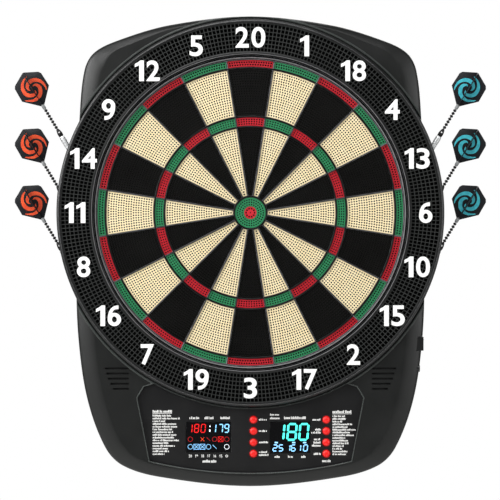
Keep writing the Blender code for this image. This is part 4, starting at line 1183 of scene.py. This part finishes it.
def words(left, right, middle, height, draw, letter=1.25 * mm):
    # a line of small blocks with the rhythm of print, but no letters
    outlines = []
    x = left
    while x < right - letter * 0.4:
        width = min(letter * draw.uniform(0.62, 0.95), right - x)
        tall = height * draw.choice([0.72, 0.72, 1.0])
        outlines.append(rectangle(x + width / 2, middle - (height - tall) / 2, width, tall))
        x += width + letter * (0.22 if draw.random() > 0.16 else 0.75)
    return outlines


labels = {
    # left, right, middle, height of the marks beside the buttons and the windows
    "marks": [(9.6, 18.2, -232.2, 2.2), (9.6, 18.7, -244.9, 2.2), (9.6, 19.9, -257.6, 2.2),
              (9.6, 18.7, -268.6, 2.2), (9.6, 20.8, -271.9, 2.2), (69.7, 79.1, -232.2, 2.4),
              (72.7, 79.1, -243.3, 2.4), (68.4, 79.1, -246.7, 2.4), (71.4, 79.1, -254.3, 2.4),
              (70.9, 79.1, -257.9, 2.4), (69.0, 79.1, -261.3, 2.4), (71.2, 79.1, -270.7, 2.4),
              (80.6, 90.2, -278.6, 3.0), (-68.4, -57.7, -230.3, 2.8), (-51.6, -40.5, -230.3, 2.8),
              (-33.7, -23.0, -230.3, 2.8), (-53.7, -38.4, -278.9, 3.2), (22.1, 32.8, -226.6, 2.2),
              (22.1, 32.8, -230.6, 2.4), (37.7, 62.8, -230.2, 3.0), (27.2, 33.2, -273.9, 2.6),
              (42.2, 48.2, -273.9, 2.6), (57.0, 63.0, -273.9, 2.6)],
    "listLeft": (-109.8, -227.8, 3.07, [20.7, 30.3, 14.6, 26.4, 27.8, 21.7, 23.2, 27.1, 24.3, 29.3,
                                        17.5, 26.0, 17.1, 19.3, 13.2]),
    "listRight": (92.2, -228.3, 3.05, [14.7, 15.0, 12.2, 22.0, 16.9, 27.2, 20.3, 24.6, 14.7, 17.8,
                                       18.2, 13.0, 12.2, 16.9, 16.0]),
    "titles": [(-109.8, -88.1, -223.0, -225.4), (92.2, 113.8, -223.4, -225.8)],
    "front": 27.08 * mm,
}


def makePanel():
    holes = [rectangle(*display[side][:2], display[side][2] + 0.8 * mm, display[side][3] + 0.8 * mm)
             for side in ("left", "right")]
    collars = []
    for x, names in buttons["columns"]:
        for row in range(len(names)):
            z = buttons["top"] - row * buttons["pitch"]
            holes.append(circle(buttons["radius"] + 0.4 * mm, 32, (x, z)))
            seat = Matrix.Translation((x, 0, z)) @ facing
            collars.append((turned([(4.45 * mm, 26.6 * mm), (5.1 * mm, 26.6 * mm), (5.1 * mm, 27.3 * mm),
                                    (4.8 * mm, 27.7 * mm), (4.5 * mm, 27.5 * mm)], 40, seat), 0))
    body = plate(panelOutline(panel["lip"]), holes, panel["back"], panel["front"], 0.3 * mm)
    addPiece("panel_overlay", [(body, 0)], [panelFilm], replaced=["control_panel"],
             flatFaces=True)
    addPiece("button_collars", collars, [collarSilicone])
    draw = random.Random(7)
    outlines = []
    for left, right, middle, height in labels["marks"]:
        outlines += words(left * mm, right * mm, middle * mm, height * mm, draw)
    for key in ("listLeft", "listRight"):
        left, top, pitch, lengths = labels[key]
        for row, length in enumerate(lengths):
            outlines += words(left * mm, (left + length) * mm, (top - row * pitch) * mm, 2.1 * mm, draw)
    for left, right, middle, rule in labels["titles"]:
        outlines += words(left * mm, right * mm, middle * mm, 3.0 * mm, draw, 1.7 * mm)
        outlines.append(rectangle((left + right) / 2 * mm, rule * mm, (right - left) * mm, 0.5 * mm))
    parts = [(prisms(outlines, panel["front"] - 0.1 * mm, labels["front"]), 0)]
    for column, count in enumerate([20, 19, 18, 17, 16, 15]):
        x = (-67.5 + 6.82 * column) * mm
        for shift, digit in zip((-0.95 * mm, 0.95 * mm), str(count)):
            mesh = digitMesh(digit, (0.9 if digit == "1" else 1.6) * mm, 3.2 * mm, panel["front"] - 0.1 * mm,
                             labels["front"])
            mesh.transform(Matrix.Translation((x + shift, 0, -273.1 * mm)))
            parts.append((mesh, 0))
    parts.append((prisms(hoop((-26.6 * mm, -273.1 * mm), 1.5 * mm, 0.6 * mm), panel["front"] - 0.1 * mm,
                         labels["front"]), 0))
    addPiece("panel_print", parts, [printWhite])


def makeDisplays():
    for side in ("left", "right"):
        x, z, width, height = display[side]
        housing = plate(rectangle(x, z, width, height), [], display["back"], display["window"], 0.3 * mm)
        window = plate(rectangle(x, z, width, height), [], display["window"] + 0.02 * mm,
                       display["face"], 0.35 * mm)
        addPiece(f"display_window_{side}", [(housing, 1), (window, 0)], [smokedAcrylic, ringAbs],
                 replaced=[f"score_display_{side}"], flatFaces=True)
    lit = {litRed: [], litDeepRed: [], litOrange: [], litIce: [], litBlue: [], litTurquoise: [], litWhite: []}

    def row(text, places, middle, width, height, thick, finish):
        for digit, x in zip(text, places):
            lit[finish].extend(figure(digit, (x * mm, middle * mm), width * mm, height * mm, thick * mm))

    row("180", (-65.5, -60.4, -53.0), -242.1, 5.5, 10.0, 1.0, litRed)
    row("179", (-38.9, -33.4, -26.6), -242.1, 5.5, 10.0, 1.15, litIce)
    lit[litWhite] += [rectangle(-45.4 * mm, -239.8 * mm, 1.0 * mm, 1.7 * mm),
                      rectangle(-45.6 * mm, -244.6 * mm, 1.2 * mm, 2.6 * mm)]
    columns = [(-67.5 + 6.82 * column) * mm for column in range(7)]
    upper = [("o", litDeepRed), ("-", litRed), ("x", litOrange), ("\\", litDeepRed), ("o", litDeepRed),
             ("#", litRed), ("o", litDeepRed)]
    lower = [("o", litIce), ("#", litBlue), ("#", litBlue), ("o", litIce), ("\\", litIce), ("-", litIce),
             ("o", litWhite)]
    for x, (kind, finish) in zip(columns, upper):
        lit[finish] += symbol(kind, (x, -254.3 * mm), 2.8 * mm, 0.45 * mm)
    for x, (kind, finish) in zip(columns, lower):
        lit[finish] += symbol(kind, (x, -262.8 * mm), 2.9 * mm, 0.4 * mm)
    row("180", (37.7, 46.7, 60.0), -246.1, 11.6, 20.1, 2.4, litTurquoise)
    row("25", (27.7, 34.2), -264.1, 5.5, 8.1, 1.2, litBlue)
    row("16", (44.4, 48.2), -264.1, 5.5, 8.1, 1.2, litIce)
    row("10", (56.4, 61.9), -264.1, 5.5, 8.1, 1.2, litIce)
    lit[litBlue] += [rectangle(x * mm, -258.1 * mm, 3.5 * mm, 1.6 * mm) for x in (29.1, 48.6, 60.9)]
    finishes = [finish for finish in lit if lit[finish]]
    parts = [(prisms(lit[finish], display["face"] - 0.1 * mm, display["face"] + display["proud"]), number)
             for number, finish in enumerate(finishes)]
    addPiece("display_light", parts, finishes)


def makeButtons():
    radius, front = buttons["radius"], buttons["front"]
    dome = [(0, front)]
    dome += [(radius * math.sin(a), front - 2.4 * mm * (1 - math.cos(a)))
             for a in (math.pi / 2 * step / 7 for step in range(1, 8))]
    profile = dome + [(radius, buttons["flange"]), (radius + 1.4 * mm, buttons["flange"]),
                      (radius + 1.4 * mm, buttons["back"]), (0, buttons["back"])]
    for x, names in buttons["columns"]:
        for row, name in enumerate(names):
            seat = Matrix.Translation((x, 0, buttons["top"] - row * buttons["pitch"])) @ facing
            addPiece(f"cap_{name}", [(turned(profile, 40, seat), 0)], [buttonSiliconeGlow], f"{name}_button",
                     [f"{name}_button"])


makePanel()
makeDisplays()
makeButtons()
print("control panel made")


# Switch and power inlet in the right side wall
switch = {"pivot": 189.5 * mm, "endWall": 0.9 * mm, "sideWall": 1.2 * mm, "floor": 4.0 * mm,
          "tilt": math.radians(8), "edge": 0.4 * mm, "gap": 0.3 * mm,
          # the rocker's side view: out from the pivot, up, in mm; its face dips in an arc
          "rocker": [(-1.5, -4.0), (5.0, -5.6), (4.55, -3.2), (4.25, -1.3), (4.2, 0.0), (4.25, 1.3),
                     (4.55, 3.2), (5.0, 5.6), (-1.5, 4.0)],
          "mark": (2.6 * mm, 0.35 * mm, 4.5 * mm)}
inlet = {"radius": 4.2 * mm, "bore": 2.75 * mm, "pin": 1.05 * mm, "pinEnd": 189 * mm,
         "body": 184 * mm}


def makeSwitch():
    low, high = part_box("switch_bezel")
    depth, z = -(low.y + high.y) / 2, (low.z + high.z) / 2
    half, tall = (high.y - low.y) / 2, (high.z - low.z) / 2
    width, reach = half - switch["sideWall"], tall - switch["endWall"]
    frameBody = cut(block((low.x, depth - half, low.z), (high.x, depth + half, high.z), switch["edge"]),
                    [("DIFFERENCE", block((switch["pivot"] - switch["floor"], depth - width, z - reach),
                                          (high.x + 9 * mm, depth + width, z + reach)))])
    addPiece("rocker_frame", [(frameBody, 0)], [ringAbs], replaced=["switch_bezel"],
             flatFaces=True)
    place = Matrix.Translation((switch["pivot"], -depth, z)) @ Matrix.Rotation(switch["tilt"], 4, "Y")
    width -= switch["gap"]
    body = plate([(out * mm, up * mm) for out, up in switch["rocker"]], [], -width, width, 0.35 * mm)
    body.transform(place)
    long, thin, out = switch["mark"]
    mark = block((out, -long / 2, 2.6 * mm), (out + 0.25 * mm, long / 2, 2.6 * mm + 2 * thin), 0.08 * mm)
    mark.transform(place)
    addPiece("rocker_cap", [(body, 0), (mark, 1)], [spiderAbs, printWhite], "power_rocker",
             ["power_rocker"], flatFaces=True)


def makeInlet():
    low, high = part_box("dc_jack")
    depth, z = -(low.y + high.y) / 2, (low.z + high.z) / 2
    half = (high.z - low.z) / 2
    outwards = Matrix.Translation((0, -depth, z)) @ Matrix.Rotation(math.pi / 2, 4, "Y")
    case = block((low.x, depth - half, z - half), (inlet["body"], depth + half, z + half), 0.4 * mm)
    collar = turned([(0, inlet["body"] - 1 * mm), (inlet["radius"], inlet["body"] - 1 * mm),
                     (inlet["radius"], high.x - 0.4 * mm), (inlet["radius"] - 0.4 * mm, high.x),
                     (inlet["bore"] + 0.4 * mm, high.x), (inlet["bore"], high.x - 0.4 * mm),
                     (inlet["bore"], inlet["body"]), (0, inlet["body"])], 40, outwards)
    pin = turned([(0, inlet["body"] - 0.5 * mm), (inlet["pin"], inlet["body"] - 0.5 * mm),
                  (inlet["pin"], inlet["pinEnd"] - 0.4 * mm), (inlet["pin"] * 0.5, inlet["pinEnd"]),
                  (0, inlet["pinEnd"])], 24, outwards)
    addPiece("power_inlet", [(case, 0), (collar, 0), (pin, 1)], [ringAbs, barrelNickel],
             replaced=["dc_jack"])


makeSwitch()
makeInlet()
print("switch and inlet made")


# Darts: soft tip, grooved barrel, beaded shaft and a crossed flight with a plain swirl
shaftLook = {"radius": 1.85 * mm, "neck": 0.55 * mm, "beads": 7, "beadStart": -4.6 * mm,
             "beadPitch": 3.7 * mm, "bead": 2.75 * mm}
barrelLook = {"radius": 3.2 * mm, "grooveRadius": 2.85 * mm, "grooves": 13, "grooveStart": 8 * mm,
              "groovePitch": 2.0 * mm}
flight = {"outline": [(0.3, 1.5), (16.6, 17.8), (33.0, 17.4), (36.0, 15.4), (43.8, 0.8)],
          "thick": 0.5 * mm, "middle": 22.5 * mm, "arms": 3, "reach": 16 * mm, "margin": 1.2 * mm,
          "sweep": math.radians(215), "armWidth": 4.6 * mm}


def dartParts(stand):
    # profiles run from the flight end (height 0) down to the tip
    parts = []
    collar = [(0, 2 * mm), (1.2 * mm, 2 * mm), (2.0 * mm, 0.6 * mm), (2.1 * mm, -2.4 * mm),
              (1.5 * mm, -4.2 * mm), (0, -4.2 * mm)]
    parts.append((turned(collar, 20, stand), 1))
    shaft = [(0, shaftLook["beadStart"] + 0.4 * mm)]
    for bead in range(shaftLook["beads"]):
        top = shaftLook["beadStart"] - bead * shaftLook["beadPitch"]
        low = top - shaftLook["bead"]
        shaft += [(shaftLook["neck"], top), (shaftLook["radius"] * 0.85, top - 0.3 * mm),
                  (shaftLook["radius"], top - 0.8 * mm), (shaftLook["radius"], low + 0.8 * mm),
                  (shaftLook["radius"] * 0.85, low + 0.3 * mm), (shaftLook["neck"], low)]
    end = -dart["shaft"]
    shaft += [(1.7 * mm, end + 8.6 * mm), (2.4 * mm, end + 6.2 * mm), (2.9 * mm, end + 3.5 * mm),
              (2.7 * mm, end + 0.4 * mm), (2.3 * mm, end), (0, end)]
    body = turned(shaft, 20, stand)
    hole = addObject("eye", rod((0, -6 * mm, 0), (0, 6 * mm, 0), 1.0 * mm, 16))
    eye = toMesh(hole)
    eye.transform(stand @ Matrix.Translation((0, 0, end + 5.2 * mm)))
    parts.append((cut(body, [("DIFFERENCE", eye)]), 0))
    barrelEnd = end - dart["barrel"]
    wide, deep = barrelLook["radius"], barrelLook["grooveRadius"]
    barrel = [(0, end - 0.1 * mm), (2.3 * mm, end - 0.1 * mm), (3.0 * mm, end - 1.2 * mm),
              (wide, end - 3 * mm)]
    for groove in range(barrelLook["grooves"]):
        top = end - barrelLook["grooveStart"] - groove * barrelLook["groovePitch"]
        barrel += [(wide, top), (deep, top - 0.25 * mm), (deep, top - 0.75 * mm), (wide, top - 1.0 * mm)]
    barrel += [(wide, barrelEnd + 2 * mm), (2.3 * mm, barrelEnd), (0, barrelEnd)]
    parts.append((turned(barrel, 28, stand), 2))
    tip = [(0, barrelEnd - 0.1 * mm), (2.0 * mm, barrelEnd - 0.1 * mm),
           (2.0 * mm, barrelEnd - 3.5 * mm), (1.3 * mm, barrelEnd - 4.5 * mm),
           (1.15 * mm, barrelEnd - dart["tip"] + 3 * mm), (0.4 * mm, barrelEnd - dart["tip"] + 0.5 * mm),
           (0, barrelEnd - dart["tip"] + 0.3 * mm)]
    parts.append((turned(tip, 16, stand), 3))
    return parts


def vaneReach(angle):
    # how far the print may go from the swirl's middle in one direction
    way = Vector((math.cos(angle), math.sin(angle)))
    edge = [Vector((width * mm, along * mm - flight["middle"])) for along, width in flight["outline"]]
    edge += [Vector((-point.x, point.y)) for point in reversed(edge)]
    reach = flight["reach"]
    for first, second in zip(edge, edge[1:] + edge[:1]):
        normal = Vector((second.y - first.y, first.x - second.x))
        if abs(normal.dot(way)) > 0:
            distance = normal.dot(first) / normal.dot(way)
            if distance > 0:
                reach = min(reach, distance - flight["margin"])
    return reach


def swirlArm(turn):
    # outline pieces of one tapered arm that winds out from the middle
    steps = 20
    ribs = []
    for step in range(steps + 1):
        share = step / steps
        angle = turn + flight["sweep"] * share
        half = flight["armWidth"] / 2 * math.sin(math.pi * (0.05 + 0.92 * share)) ** 0.75
        radius = (vaneReach(angle) - half) * (0.2 + 0.8 * share ** 0.75)
        ribs.append([((radius + sign * half) * math.cos(angle), (radius + sign * half) * math.sin(angle))
                     for sign in (-1, 1)])
    return [[first[0], first[1], second[1], second[0]] for first, second in zip(ribs, ribs[1:])]


def makeDarts():
    half = flight["thick"] / 2
    vane = [(width * mm, along * mm) for along, width in flight["outline"]]
    vane += [(-width, along) for width, along in reversed(vane)]
    swirl = []
    for arm in range(flight["arms"]):
        swirl += swirlArm(math.tau * arm / flight["arms"])
    for side, word, ink in ((-1, "left", inkOrange), (1, "right", inkCyan)):
        tilt = side * (math.pi / 2 - dart["slope"])
        for row in range(3):
            x, depth, z = dartPoint(side, row, 0.0)
            stand = Matrix.Translation((x, -depth, z)) @ Matrix.Rotation(tilt, 4, "Y")
            addPiece(f"stored_dart_{word}_{row + 1}", dartParts(stand),
                     [shaftNylon, collarNylon, barrelNickel, shaftNylon], f"dart_{word}_{row + 1}",
                     [f"dart_{word}_{row + 1}"])
            parts = []
            for quarter in (0, math.pi / 2):
                mesh = plate(vane, [], -half, half, 0.1 * mm, 1)
                mesh.transform(stand @ Matrix.Rotation(quarter, 4, "Z"))
                parts.append((mesh, 0))
            for face in (-1, 1):
                motif = prisms([[(face * side * px, pz) for px, pz in outline] for outline in swirl],
                               half - 0.05 * mm, half + 0.05 * mm)
                motif.transform(stand @ Matrix.Translation((0, 0, flight["middle"]))
                                @ Matrix.Rotation(0 if face > 0 else math.pi, 4, "Z"))
                parts.append((motif, 1))
            addPiece(f"stored_flight_{word}_{row + 1}", parts, [flightFilm, ink], f"dart_{word}_{row + 1}",
                     [f"flight_{word}_{row + 1}"])


makeDarts()
print("darts made")


def makeScrews():
    # pan-head screws in the rear cover's counterbores, a cross recess in each
    head = cut(turned([(0, 0), (2.6 * mm, 0.2 * mm), (3.6 * mm, 0.9 * mm), (3.9 * mm, 1.9 * mm),
                       (3.9 * mm, 2.4 * mm), (0, 2.4 * mm)], 24, facing @ Matrix.Rotation(math.pi, 4, "X")
                      @ Matrix.Scale(-1, 4, (0, 0, 1))),
               [("DIFFERENCE", block((-2.2 * mm, -1 * mm, -0.4 * mm), (2.2 * mm, 1.3 * mm, 0.4 * mm))),
                ("DIFFERENCE", block((-0.4 * mm, -1 * mm, -2.2 * mm), (0.4 * mm, 1.3 * mm, 2.2 * mm)))])
    screw = addObject("screwHead", head)
    screw.hide_render = True
    depth = posts["sink"] - 2.5 * mm
    points = bpy.data.meshes.new("screwPoints")
    points.from_pydata([(hand * x, -depth, z) for hand in (-1, 1) for x, z in posts["places"]], [], [])
    mesh = grown(screws, {"Screw": screw, "Seed": 4, "Finish": screwZinc}, points)
    addPiece("casing_screws", [(mesh, 0)], [screwZinc])
    bpy.data.objects.remove(screw)


makeScrews()

carried = {
    "backing_plate": hardboard, "membrane_switch": membraneFilm, "membrane_ribbon": membraneFilm,
    "rubber_pad": padFoam, "main_board": boardMask, "speaker_left": speakerBlack,
    "speaker_right": speakerBlack,
}
for node, finish in carried.items():
    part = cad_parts[node]
    part.data.materials.clear()
    part.data.materials.append(finish)
for helper in ("pitCell", "ringPitCell", "gridCell"):
    bpy.data.objects.remove(bpy.data.objects[helper])
print("carried parts finished")
